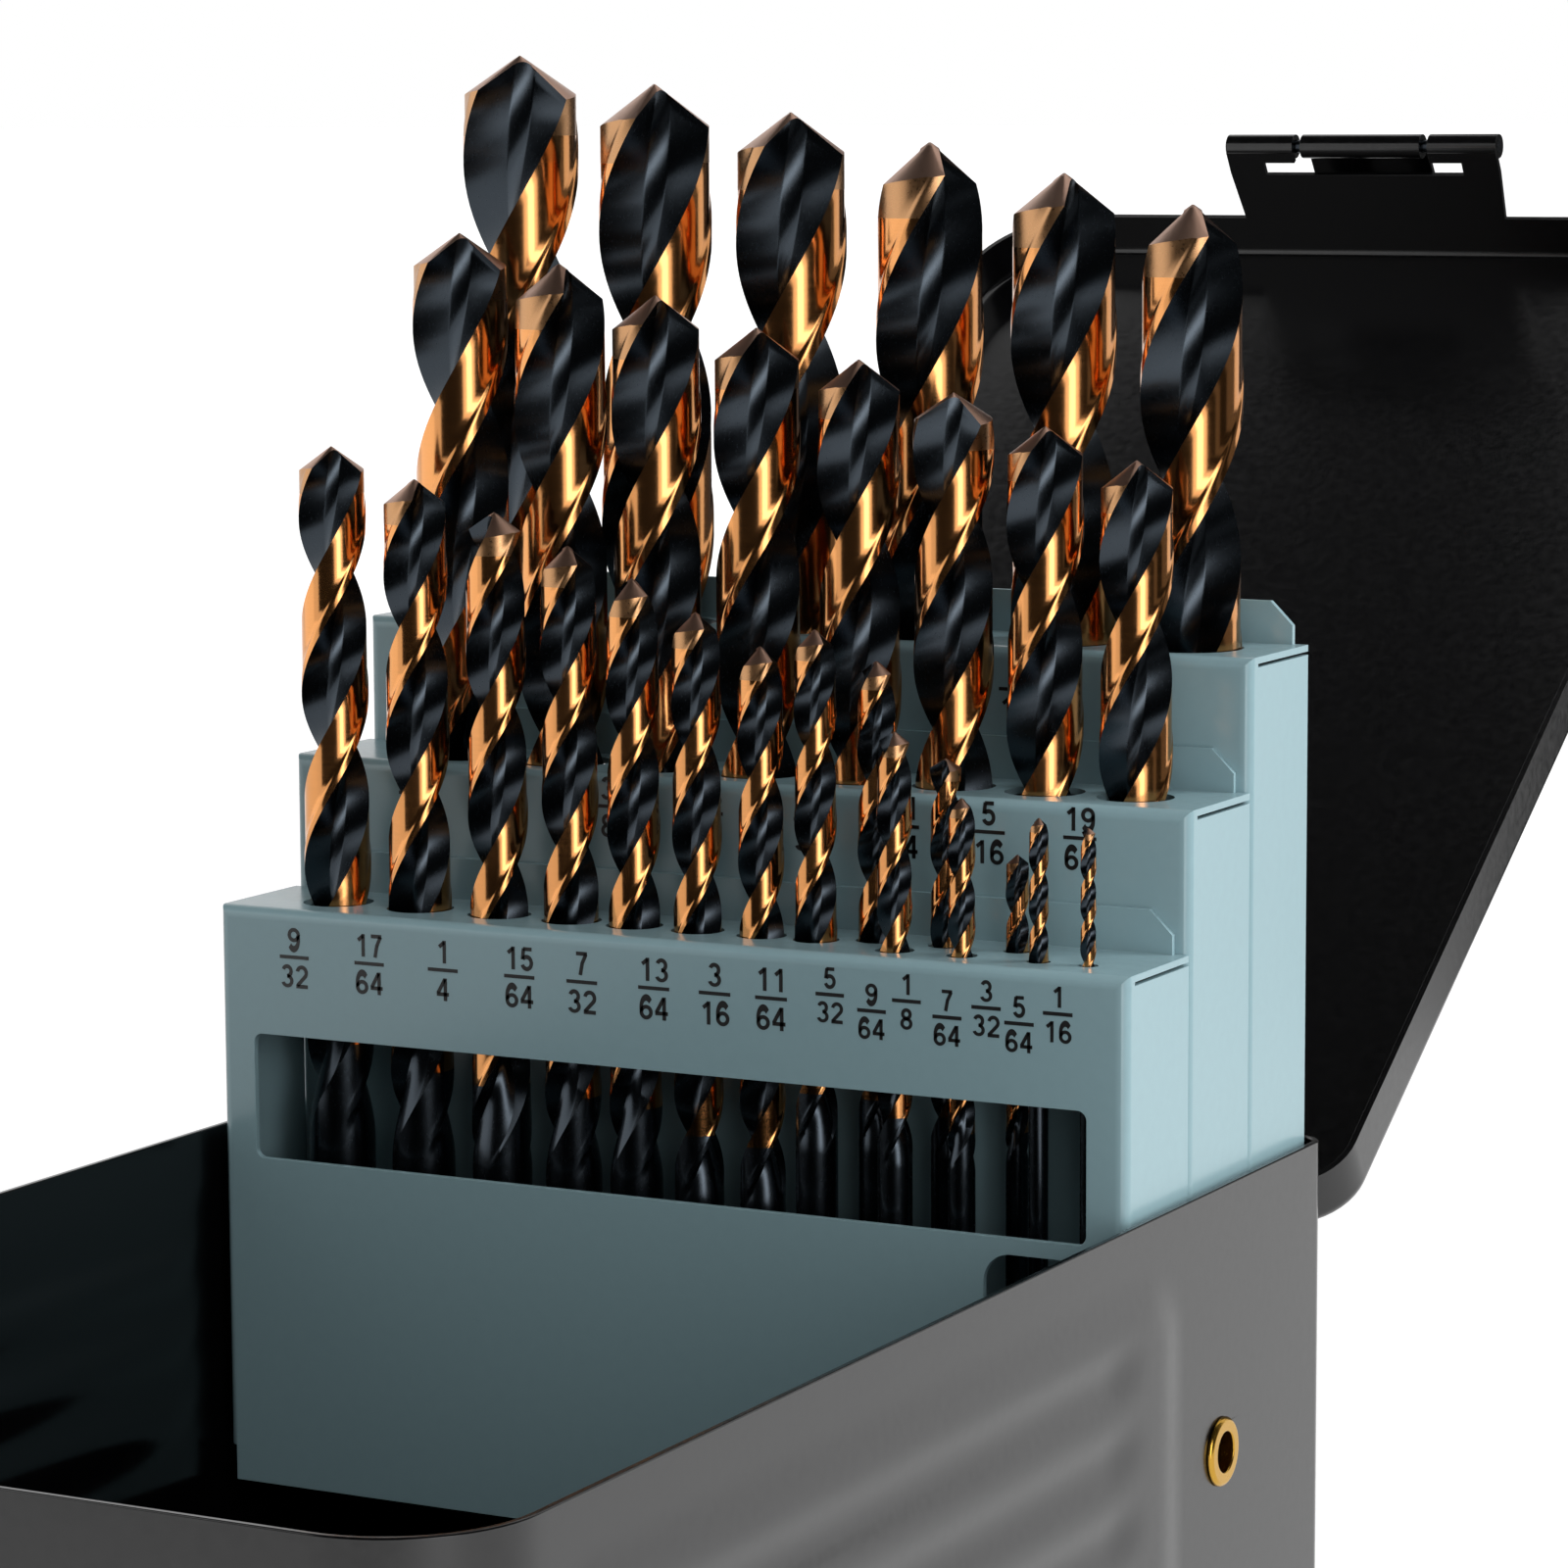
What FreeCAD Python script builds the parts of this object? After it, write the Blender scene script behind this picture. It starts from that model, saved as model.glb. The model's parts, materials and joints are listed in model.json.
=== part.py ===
import FreeCAD, Part
import math
import os
import re
import Sketcher

# Metal drill bit case: a deep tray with a hinged lid, a rack unit that folds down on two
# hollow eyelets, and twenty-nine twist drills. Millimetres, X across, Y to the hinge side, Z up.
# The origin is the centre of the tray's underside. The case stands open, as it is used.

OVERRUN = 1.0

SIZES = {
    # tray
    "tray_width": 110.0,
    "tray_length": 177.5,
    "tray_height": 52.0,
    "sheet": 0.7,
    "front_corner": 13.0,
    "rear_corner": 3.0,
    "floor_bend": 2.5,
    "panel_rise": 0.4,
    "panel_corner": 5.0,
    "panel_edge": 0.35,
    "panel_top_gap": 8.5,
    "panel_foot_gap": 8.0,
    "panel_rear_gap": 42.0,
    "panel_front_gap": 18.0,
    "rib_first_drop": 14.0,
    "rib_pitch": 8.0,
    "rib_width": 3.6,
    "rib_depth": 0.7,
    "rib_end_gap": 9.0,
    # pivot of the rack unit and its hollow eyelets
    "pivot_below_rim": 27.5,
    "pivot_to_wall": 27.6,
    "pivot_above_rack_foot": 11.2,
    "pivot_behind_rack_face": 19.8,
    "eyelet_barrel": 2.6,
    "eyelet_bore": 2.1,
    "eyelet_head": 3.6,
    "eyelet_head_thick": 0.6,
    "eyelet_curl": 3.4,
    "running_gap": 0.06,
    "eyelet_play": 0.15,
    # folded racks
    "rack_side_gap": 1.15,
    "rack_bend": 1.3,
    "front_depth": 15.2,
    "middle_depth": 15.5,
    "back_depth": 15.5,
    "front_height": 63.0,
    "middle_height": 77.5,
    "back_height": 91.3,
    "lip_rise": 4.5,
    "lip_corner": 2.5,
    "lip_side_gap": 1.5,
    "side_rise": 3.8,
    "side_notch": 1.0,
    "side_heel": 4.0,
    "seam": 0.35,
    "seam_start": 2.0,
    "window_drop": 13.6,
    "window_height": 13.5,
    "window_side": 4.3,
    "window_corner": 1.0,
    "finger_right_gap": 4.5,
    "finger_width": 11.0,
    "finger_drop": 28.8,
    "finger_height": 15.0,
    "finger_corner": 3.0,
    "hole_gap": 0.2,
    "row_offset": 2.4,
    # rests under the drills
    "rest_depth_large": 59.1,
    "rest_depth_small": 50.8,
    "rest_depth_fine": 47.4,
    "rest_depth_finer": 36.4,
    "rest_depth_finest": 33.9,
    "rest_tab": 5.0,
    "rest_rear_gap": 1.6,
    "seat_gap": 0.05,
    # lid
    "lid_gap": 0.25,
    "lid_lift": 0.3,
    "lid_depth": 6.6,
    "lid_rear_corner": 7.7,
    "lid_edge_bend": 1.6,
    "lid_open_angle": 147.0,
    "lid_trim_side_gap": 2.5,
    "lid_trim_above_axis": 2.2,
    # rear hinge
    "hinge_below_rim": 5.0,
    "hinge_knuckle": 1.6,
    "hinge_leaf": 0.6,
    "hinge_wire": 0.95,
    "hinge_length": 81.5,
    "hinge_gap": 0.3,
    "hinge_leaf_drop": 8.0,
    "roll_gap": 0.05,
    # latch
    "tab_half": 19.2,
    "tab_root_half": 18.6,
    "tab_drop": 10.5,
    "slot_reach": 4.5,
    "slot_height": 1.9,
    "latch_knuckle": 1.6,
    "latch_wire": 0.85,
    "clasp_half": 8.5,
    "clasp_sheet": 0.6,
    "clasp_length": 15.0,
    "clasp_gap": 1.1,
    "clasp_window": 3.0,
    "clasp_lip": 1.5,
    "clasp_rest_angle": 184.0,
    "stud_below_pin": 9.0,
    "stud_head": 2.4,
    "stud_proud": 1.5,
    "stud_dome": 0.7,
    "stud_shank": 1.2,
    "stud_clinch": 2.2,
    "stud_clinch_thick": 0.5,
    # twist drills
    "helix_angle": 31.0,
    "flute_spacing": 180.0,
    "point_angle": 118.0,
    "twist_step": 45.0,
}

# Drills from left to right in each rack: diameter in inches, overall length, flute length, rack,
# and whether the hole is on the rack's middle line, nearer the front or farther back.
DRILLS = [
    ("9/32", 108.0, 74.6, "front", "line"),
    ("17/64", 104.8, 73.0, "front", "line"),
    ("1/4", 101.6, 69.9, "front", "line"),
    ("15/64", 98.4, 66.7, "front", "line"),
    ("7/32", 95.3, 63.5, "front", "line"),
    ("13/64", 92.1, 61.9, "front", "line"),
    ("3/16", 88.9, 58.7, "front", "line"),
    ("11/64", 82.6, 54.0, "front", "line"),
    ("5/32", 79.4, 50.8, "front", "far"),
    ("9/64", 73.0, 44.5, "front", "near"),
    ("1/8", 69.9, 41.3, "front", "far"),
    ("7/64", 66.7, 38.1, "front", "near"),
    ("3/32", 57.2, 31.8, "front", "far"),
    ("5/64", 50.8, 25.4, "front", "near"),
    ("1/16", 47.6, 22.2, "front", "near"),
    ("13/32", 133.4, 98.4, "middle", "line"),
    ("25/64", 130.2, 95.3, "middle", "line"),
    ("3/8", 127.0, 92.1, "middle", "line"),
    ("23/64", 123.8, 88.9, "middle", "line"),
    ("11/32", 120.7, 87.3, "middle", "line"),
    ("21/64", 117.5, 84.1, "middle", "line"),
    ("5/16", 114.3, 81.0, "middle", "line"),
    ("19/64", 111.1, 77.8, "middle", "line"),
    ("1/2", 152.4, 114.3, "back", "line"),
    ("31/64", 149.2, 111.1, "back", "line"),
    ("15/32", 146.1, 109.5, "back", "line"),
    ("29/64", 142.9, 106.4, "back", "line"),
    ("7/16", 139.7, 103.2, "back", "line"),
    ("27/64", 136.5, 100.0, "back", "line"),
]
INCH = 25.4
ROW_SHARES = {"near": -1, "line": 0, "far": 1}

# Each drill's place as a share of the rack's width, in the order of the table above
ACROSS_SHARES = {
    "front": [0.0978, 0.1947, 0.2869, 0.3697, 0.4412, 0.5118, 0.5823, 0.6416, 0.6961, 0.7375,
               0.7695, 0.8081, 0.8448, 0.8881, 0.9389],
    "middle": [0.1627, 0.2794, 0.3895, 0.5033, 0.6162, 0.7187, 0.8166, 0.9125],
    "back": [0.1496, 0.3086, 0.4657, 0.6218, 0.7686, 0.9059],
}

# Drill section: polar angle in degrees and share of the radius, for one half of the section.
SECTION_SHARES = [(-34.0, 1.0), (0.0, 1.0), (34.0, 1.0), (86.0, 0.34)]
RUNOUT_SHARE = 0.9
SHANK_LAP_SHARE = 0.15
SHANK_FIT_SHARE = 0.96

doc = FreeCAD.newDocument("drill_bit_case")
sheet = doc.addObject("Spreadsheet::Sheet", "Sizes")
PARTS = []


def tag_of(drill):
    return drill[0].replace("/", "_")


def across_share(drill):
    rack = drill[3]
    order = [other for other in DRILLS if other[3] == rack]
    return ACROSS_SHARES[rack][order.index(drill)]


# Sheet of driving sizes

def fill_sheet():
    rows = dict(SIZES)
    for drill in DRILLS:
        fraction, length, flute, rack, row = drill
        over, under = fraction.split("/")
        tag = tag_of(drill)
        rows["bit_radius_" + tag] = INCH * int(over) / int(under) / 2
        rows["bit_length_" + tag] = length
        rows["bit_flute_" + tag] = flute
    rows["overrun"] = OVERRUN
    for number, (alias, value) in enumerate(rows.items(), start=1):
        sheet.set(f"A{number}", alias)
        sheet.set(f"B{number}", repr(value))
        sheet.setAlias(f"B{number}", alias)
    doc.recompute()
    return set(rows)


ALIASES = fill_sheet()


def size(alias):
    return float(sheet.get(alias))


def bound(text):
    # Points every sheet alias in an expression at the sheet.
    def point(match):
        word = match.group(0)
        return "Sizes." + word if word in ALIASES else word
    return re.sub(r"[a-z][a-z0-9_]*", point, text)


def bind(thing, **places):
    for prop, text in places.items():
        thing.setExpression(prop.replace("__", "."), bound(text))


def place(thing, across="0", back="0", up="0"):
    for axis, text in (("x", across), ("y", back), ("z", up)):
        if text != "0":
            thing.setExpression("Placement.Base." + axis, bound(text))


# Widths, heights and depths that several pieces share
RACK_HALF = "(tray_width / 2 - sheet - rack_side_gap)"
INNER_REAR = "(tray_length / 2 - sheet)"
PIVOT_Y = f"({INNER_REAR} - pivot_to_wall)"
PIVOT_Z = "(tray_height - pivot_below_rim)"
RACK_Y = f"({PIVOT_Y} - pivot_behind_rack_face)"
RACK_Z = f"({PIVOT_Z} - pivot_above_rack_foot)"
HINGE_Y = "(tray_length / 2 + roll_gap + hinge_knuckle)"
HINGE_Z = "(tray_height - hinge_below_rim)"
LID_HALF = "(tray_width / 2 + lid_gap + sheet)"
LID_FRONT = "(-(tray_length / 2 + lid_gap + sheet))"
LID_REAR = f"({HINGE_Y} + hinge_knuckle + roll_gap + sheet)"
LID_TOP = "(tray_height + lid_lift + sheet)"
LID_RIM = f"({LID_TOP} - lid_depth)"
LATCH_Y = f"({LID_FRONT} + sheet - roll_gap - latch_knuckle)"
LATCH_Z = f"({LID_RIM} - tab_drop)"


def value(text):
    # Works out an expression of sheet aliases as a plain number.
    result = sheet.evalExpression(text)
    return float(getattr(result, "Value", result))


# Sketching helpers

def sketch_on(body, name, role, lift=None):
    sketch = body.newObject("Sketcher::SketchObject", name)
    plane = next(f for f in body.Origin.OriginFeatures if f.Role == role)
    sketch.AttachmentSupport = [(plane, "")]
    sketch.MapMode = "FlatFace"
    if lift:
        sketch.setExpression("AttachmentOffset.Base.z", bound(lift))
    return sketch


def pin_point(sketch, geometry, corner, across, up):
    for kind, text in (("DistanceX", across), ("DistanceY", up)):
        number = sketch.addConstraint(Sketcher.Constraint(kind, -1, 1, geometry, corner, 0.0))
        if text != "0":
            sketch.setExpression(f"Constraints[{number}]", bound(text))


def add_outline(sketch, corners):
    # A closed outline: the corners start on a ring and their bound places then hold them.
    first = sketch.GeometryCount
    count = len(corners)
    turn = 2 * math.pi / count
    ring = [FreeCAD.Vector(math.cos(turn * i), math.sin(turn * i), 0) for i in range(count)]
    for i in range(count):
        sketch.addGeometry(Part.LineSegment(ring[i], ring[(i + 1) % count]), False)
    for i in range(count):
        after = first + (i + 1) % count
        sketch.addConstraint(Sketcher.Constraint("Coincident", first + i, 2, after, 1))
    for i, (across, up) in enumerate(corners):
        pin_point(sketch, first + i, 1, across, up)


def add_rectangle(sketch, left, right, low, high):
    add_outline(sketch, [(left, low), (right, low), (right, high), (left, high)])


def add_circle(sketch, across, up, radius):
    circle = Part.Circle(FreeCAD.Vector(), FreeCAD.Vector(0, 0, 1), 1)
    number = sketch.addGeometry(circle, False)
    pin_point(sketch, number, 3, across, up)
    limit = sketch.addConstraint(Sketcher.Constraint("Radius", number, 1))
    sketch.setExpression(f"Constraints[{limit}]", bound(radius))


def new_body(label):
    body = doc.addObject("PartDesign::Body", label)
    body.Label = label
    return body


def pad(body, sketch, length, backwards=False, both=False):
    feature = body.newObject("PartDesign::Pad", sketch.Name + "_pad")
    feature.Profile = sketch
    feature.setExpression("Length", bound(length))
    feature.Reversed = backwards
    feature.Midplane = both
    doc.recompute()
    return feature


def pocket(body, sketch, length=None, backwards=False, both=False):
    before = body.Shape.Volume
    feature = body.newObject("PartDesign::Pocket", sketch.Name + "_cut")
    feature.Profile = sketch
    if length:
        feature.setExpression("Length", bound(length))
    else:
        feature.Type = "ThroughAll"
    feature.Reversed = backwards
    feature.Midplane = both
    doc.recompute()
    if not body.Shape.Volume < before:
        raise RuntimeError(sketch.Name + " cuts nothing")
    return feature


def edges_where(shape, test):
    return [f"Edge{i}" for i, edge in enumerate(shape.Edges, start=1) if test(edge)]


def faces_where(shape, test):
    return [f"Face{i}" for i, face in enumerate(shape.Faces, start=1) if test(face)]


def near(one, other):
    return abs(one - other) < size("seat_gap") / 10


def box_is(edge, **limits):
    # Tests an edge or face by its own box, such as XMin=..., ZMax=...
    return all(near(getattr(edge.BoundBox, side), limit) for side, limit in limits.items())


def round_off(body, name, test, radius, kind="PartDesign::Fillet"):
    base = body.Tip
    names = edges_where(base.Shape, test)
    if not names:
        raise RuntimeError(name + " finds no edge")
    feature = body.newObject(kind, name)
    feature.Base = (base, names)
    prop = "Radius" if kind.endswith("Fillet") else "Size"
    feature.setExpression(prop, bound(radius))
    doc.recompute()
    return feature


def shell(body, name, open_faces):
    base = body.Tip
    feature = body.newObject("PartDesign::Thickness", name)
    feature.Base = (base, open_faces)
    feature.setExpression("Value", bound("sheet"))
    feature.Reversed = True
    feature.Mode = 0
    feature.Join = 0
    doc.recompute()
    return feature


def cylinder(name, radius, length, along, across="0", back="0", up="0"):
    rod = doc.addObject("Part::Cylinder", name)
    bind(rod, Radius=radius, Height=length)
    turned = {
        "x": FreeCAD.Rotation(FreeCAD.Vector(0, 1, 0), 90),
        "y": FreeCAD.Rotation(FreeCAD.Vector(1, 0, 0), -90),
        "z": FreeCAD.Rotation(),
    }
    rod.Placement = FreeCAD.Placement(FreeCAD.Vector(), turned[along])
    place(rod, across, back, up)
    return rod


def block(name, wide, deep, high, across="0", back="0", up="0"):
    box = doc.addObject("Part::Box", name)
    bind(box, Length=wide, Width=deep, Height=high)
    place(box, across, back, up)
    return box


def joined(name, pieces):
    fuse = doc.addObject("Part::MultiFuse", name)
    fuse.Shapes = pieces
    return fuse


def cut(name, base, tool):
    result = doc.addObject("Part::Cut", name)
    result.Base = base
    result.Tool = tool
    return result


def keep(thing, label):
    thing.Label = label
    PARTS.append(thing)
    return thing


# Tray: a drawn pan with wide front corners and four pressed ribs in each side wall
RIB_RADIUS = "((rib_width * rib_width / 4 + rib_depth * rib_depth) / (2 * rib_depth))"
PANEL_FRONT = "(panel_front_gap - tray_length / 2)"
PANEL_LENGTH = "(tray_length - panel_front_gap - panel_rear_gap)"
PANEL_HIGH = "(tray_height - panel_top_gap - panel_foot_gap)"
RIB_LENGTH = f"({PANEL_LENGTH} - 2 * rib_end_gap)"
RIB_COUNT = 4


def pan(name, half, front, rear, low, high, front_radius, rear_radius, bend, bend_low):
    body = new_body(name)
    outline = sketch_on(body, name + "_outline", "XY_Plane", low)
    add_rectangle(outline, f"-{half}", half, front, rear)
    pad(body, outline, f"{high} - {low}")
    front_at = value(front)
    rear_at = value(rear)
    upright = value(high) - value(low)

    def post(edge, at):
        return near(edge.Length, upright) and box_is(edge, YMin=at, YMax=at)

    round_off(body, name + "_front_corners", lambda e: post(e, front_at), front_radius)
    round_off(body, name + "_rear_corners", lambda e: post(e, rear_at), rear_radius)
    closed = value(low) if bend_low else value(high)
    opened = value(high) if bend_low else value(low)
    round_off(body, name + "_bend", lambda e: box_is(e, ZMin=closed, ZMax=closed), bend)
    mouth = faces_where(body.Tip.Shape, lambda f: box_is(f, ZMin=opened, ZMax=opened))
    shell(body, name + "_wall", mouth)
    return body


def panel_block(name, side, outer, deep):
    # A rounded plate that stands on the side wall; outer is how far its face is from the centre.
    plate = block(name + "_block", deep, PANEL_LENGTH, PANEL_HIGH)
    posts = doc.addObject("Part::Fillet", name + "_corners")
    posts.Base = plate
    doc.recompute()
    high = value(PANEL_HIGH)
    long = value(PANEL_LENGTH)
    thick = value(deep)
    corner = size("panel_corner")
    posts.Edges = [(i, corner, corner) for i, edge in enumerate(plate.Shape.Edges, start=1)
                   if near(edge.BoundBox.XLength, thick)]
    doc.recompute()
    face_x = thick if side > 0 else 0
    edge_size = size("panel_edge")
    rim = doc.addObject("Part::Chamfer", name)
    rim.Base = posts
    rim.Edges = [(i, edge_size, edge_size) for i, edge in enumerate(posts.Shape.Edges, start=1)
                 if box_is(edge, XMin=face_x, XMax=face_x)]
    inner = f"({outer}) - ({deep})" if side > 0 else f"-({outer})"
    place(rim, inner, PANEL_FRONT, "panel_foot_gap")
    return rim


def rib(name, side, number, radius):
    reach = f"{side} * (tray_width / 2 + panel_rise + {RIB_RADIUS} - rib_depth)"
    front = f"{PANEL_FRONT} + rib_end_gap"
    level = f"tray_height - rib_first_drop - {number} * rib_pitch"
    pieces = [cylinder(name, radius, RIB_LENGTH, "y", reach, front, level)]
    for end, where in (("front", front), ("rear", f"{front} + {RIB_LENGTH}")):
        ball = doc.addObject("Part::Sphere", f"{name}_{end}")
        bind(ball, Radius=radius)
        place(ball, reach, where, level)
        pieces.append(ball)
    return pieces


def make_tray():
    body = pan("tray_pan", "(tray_width / 2)", "(-tray_length / 2)", "(tray_length / 2)", "0 * sheet",
               "tray_height", "front_corner", "rear_corner", "floor_bend", True)
    raised = []
    hollows = []
    swells = []
    grooves = []
    for side in (-1, 1):
        hand = "left" if side < 0 else "right"
        face = "tray_width / 2 + panel_rise"
        raised.append(panel_block("panel_out_" + hand, side, face, "panel_rise + sheet / 2"))
        hollows.append(panel_block("panel_in_" + hand, side, f"{face} - sheet",
                                   "panel_rise + sheet / 2"))
        for number in range(RIB_COUNT):
            tag = f"{hand}_{number}"
            swells += rib("rib_swell_" + tag, side, number, f"{RIB_RADIUS} + sheet")
            grooves += rib("rib_groove_" + tag, side, number, RIB_RADIUS)
    inside = block("rib_limit", "tray_width", "tray_length", "tray_height",
                   "-tray_width / 2", "-tray_length / 2")
    swell = doc.addObject("Part::Common", "rib_swells")
    swell.Base = joined("rib_swell_group", swells)
    swell.Tool = inside
    holes = [
        cylinder("eyelet_hole", "eyelet_barrel + running_gap", "tray_width + 2 * overrun", "x",
                 "-tray_width / 2 - overrun", PIVOT_Y, PIVOT_Z),
        cylinder("stud_hole", "stud_shank + running_gap", "sheet + 2 * overrun", "y",
                 "0", "-tray_length / 2 - overrun", f"{LATCH_Z} - stud_below_pin"),
    ]
    pressed = cut("tray_pressed", joined("tray_raised", [body] + raised),
                  joined("tray_hollows", hollows))
    ribbed = joined("tray_ribbed", [pressed, swell])
    return keep(cut("tray_cut", ribbed, joined("tray_cuts", grooves + holes)), "base_tray")


# Hollow brass eyelets that carry the rack unit, and the stud that holds the latch

def turned_body(label, profile):
    body = new_body(label)
    sketch = sketch_on(body, label + "_profile", "XZ_Plane")
    add_outline(sketch, profile)
    turn = body.newObject("PartDesign::Revolution", label + "_turn")
    turn.Profile = sketch
    turn.ReferenceAxis = (sketch, ["V_Axis"])
    turn.Angle = 360
    doc.recompute()
    return body


EYELET_REACH = "(2 * sheet + rack_side_gap + eyelet_play)"


def make_eyelet(label, side):
    # The profile runs from the head outside the tray wall to the curl inside the rack's flange.
    chamfer = "eyelet_head_thick / 2"
    body = turned_body(label, [
        ("eyelet_bore", "eyelet_head_thick"),
        (f"eyelet_head - {chamfer}", "eyelet_head_thick"),
        ("eyelet_head", chamfer),
        ("eyelet_head", "0"),
        ("eyelet_barrel", "0"),
        ("eyelet_barrel", f"-{EYELET_REACH}"),
        ("eyelet_curl", f"-{EYELET_REACH}"),
        (f"eyelet_curl - {chamfer}", f"-{EYELET_REACH} - eyelet_head_thick"),
        ("eyelet_bore", f"-{EYELET_REACH} - eyelet_head_thick"),
    ])
    turn = FreeCAD.Rotation(FreeCAD.Vector(0, 1, 0), 90 * side)
    body.Placement = FreeCAD.Placement(
        FreeCAD.Vector(side * value("tray_width / 2"), value(PIVOT_Y), value(PIVOT_Z)), turn)
    return keep(body, label)


def make_stud():
    body = turned_body("latch_stud", [
        ("0", "stud_proud"),
        ("stud_head - stud_dome", "stud_proud"),
        ("stud_head", "stud_proud - stud_dome"),
        ("stud_head", "0"),
        ("stud_shank", "0"),
        ("stud_shank", "-sheet"),
        ("stud_clinch", "-sheet"),
        ("stud_clinch", "-sheet - stud_clinch_thick"),
        ("0", "-sheet - stud_clinch_thick"),
    ])
    turn = FreeCAD.Rotation(FreeCAD.Vector(1, 0, 0), 90)
    spot = FreeCAD.Vector(0, value("-tray_length / 2"), value(f"{LATCH_Z} - stud_below_pin"))
    body.Placement = FreeCAD.Placement(spot, turn)
    return keep(body, "latch_stud")


# Racks: one folded sheet each, with a face, a top, two side flanges and an upturned rear lip
RACKS = {
    "front": ("front_depth", "front_height", "0 * sheet"),
    "middle": ("middle_depth", "middle_height", "front_depth"),
    "back": ("back_depth", "back_height", "(front_depth + middle_depth)"),
}


def set_in_unit(body, behind):
    body.Placement = FreeCAD.Placement(
        FreeCAD.Vector(0, value(f"{RACK_Y} + {behind}"), value(RACK_Z)), FreeCAD.Rotation())


def bit_place(drill):
    fraction, length, flute, rack, row = drill
    depth = RACKS[rack][0]
    left = f"{2 * across_share(drill) - 1} * {RACK_HALF}"
    return left, f"{depth} / 2 + {ROW_SHARES[row]} * row_offset"


def make_rack(rack):
    depth, height, behind = RACKS[rack]
    label = rack + "_rack"
    half = RACK_HALF
    body = new_body(label)
    plan = sketch_on(body, rack + "_plan", "XY_Plane")
    add_rectangle(plan, f"-{half}", half, "0", depth)
    pad(body, plan, height)
    top = value(height)
    round_off(body, rack + "_folds", lambda e: box_is(e, YMin=0, YMax=0)
              and not box_is(e, ZMin=0, ZMax=0), "rack_bend")
    rear = value(depth)
    hidden = faces_where(body.Tip.Shape, lambda f: box_is(f, ZMin=0, ZMax=0)
                         or box_is(f, YMin=rear, YMax=rear))
    shell(body, rack + "_sheet", hidden)

    lip = sketch_on(body, rack + "_lip", "XZ_Plane", f"-{depth}")
    end = f"({half} - lip_side_gap)"
    add_outline(lip, [
        (f"-{end}", f"{height} - sheet"),
        (end, f"{height} - sheet"),
        (end, f"{height} + lip_rise - lip_corner"),
        (f"{end} - lip_corner", f"{height} + lip_rise"),
        (f"-{end} + lip_corner", f"{height} + lip_rise"),
        (f"-{end}", f"{height} + lip_rise - lip_corner"),
    ])
    pad(body, lip, "sheet")

    feet = sketch_on(body, rack + "_feet", "XZ_Plane")
    for side in ("-1 * ", ""):
        near_end = f"{side}({half} - side_notch)"
        far_end = f"{side}({half} + overrun)"
        add_rectangle(feet, near_end, far_end, "-overrun", "side_rise")
    pocket(body, feet)
    rise = size("side_rise")
    round_off(body, rack + "_heels", lambda e: box_is(e, YMin=rear, YMax=rear, ZMin=rise, ZMax=rise),
              "side_heel", "PartDesign::Chamfer")

    seams = sketch_on(body, rack + "_seams", "YZ_Plane")
    under_top = f"({height} - sheet)"
    add_rectangle(seams, "seam_start", f"{depth} + overrun", f"{under_top} - seam", under_top)
    pocket(body, seams, both=True)

    view = sketch_on(body, rack + "_window", "XZ_Plane")
    left = f"-{half} + window_side"
    right = f"{half} - window_side"
    sill = f"{height} - window_drop - window_height"
    head = f"{height} - window_drop"
    add_rectangle(view, left, right, sill, head)
    pocket(body, view, "sheet + seam")
    corners = [(value(x), value(z)) for x in (left, right) for z in (sill, head)]
    round_off(body, rack + "_window_corners", lambda e: is_corner(e, corners), "window_corner")

    if rack == "front":
        grip = sketch_on(body, rack + "_grip", "XZ_Plane")
        right = f"{half} - finger_right_gap"
        left = f"{right} - finger_width"
        sill = f"{height} - finger_drop - finger_height"
        head = f"{height} - finger_drop"
        add_rectangle(grip, left, right, sill, head)
        pocket(body, grip, "sheet + seam")
        corners = [(value(x), value(z)) for x in (left, right) for z in (sill, head)]
        round_off(body, rack + "_grip_corners", lambda e: is_corner(e, corners), "finger_corner")

    holes = sketch_on(body, rack + "_holes", "XY_Plane", f"{height}")
    for drill in DRILLS:
        if drill[3] == rack:
            across, back = bit_place(drill)
            add_circle(holes, across, back, f"bit_radius_{tag_of(drill)} + hole_gap")
    pocket(body, holes, "sheet + seam")

    if rack == "middle":
        swivel = sketch_on(body, rack + "_pivot", "YZ_Plane")
        add_circle(swivel, f"pivot_behind_rack_face - {behind}", "pivot_above_rack_foot",
                   "eyelet_barrel + running_gap")
        pocket(body, swivel, both=True)
    set_in_unit(body, behind)
    return keep(body, label)


def is_corner(edge, corners):
    if not near(edge.BoundBox.YLength, size("sheet")) or edge.BoundBox.XLength > size("seat_gap"):
        return False
    middle = edge.BoundBox.Center
    return any(near(middle.x, x) and near(middle.z, z) for x, z in corners)


# Rests: sheet strips with turned ends, welded between the side flanges, under the shank ends

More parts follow.
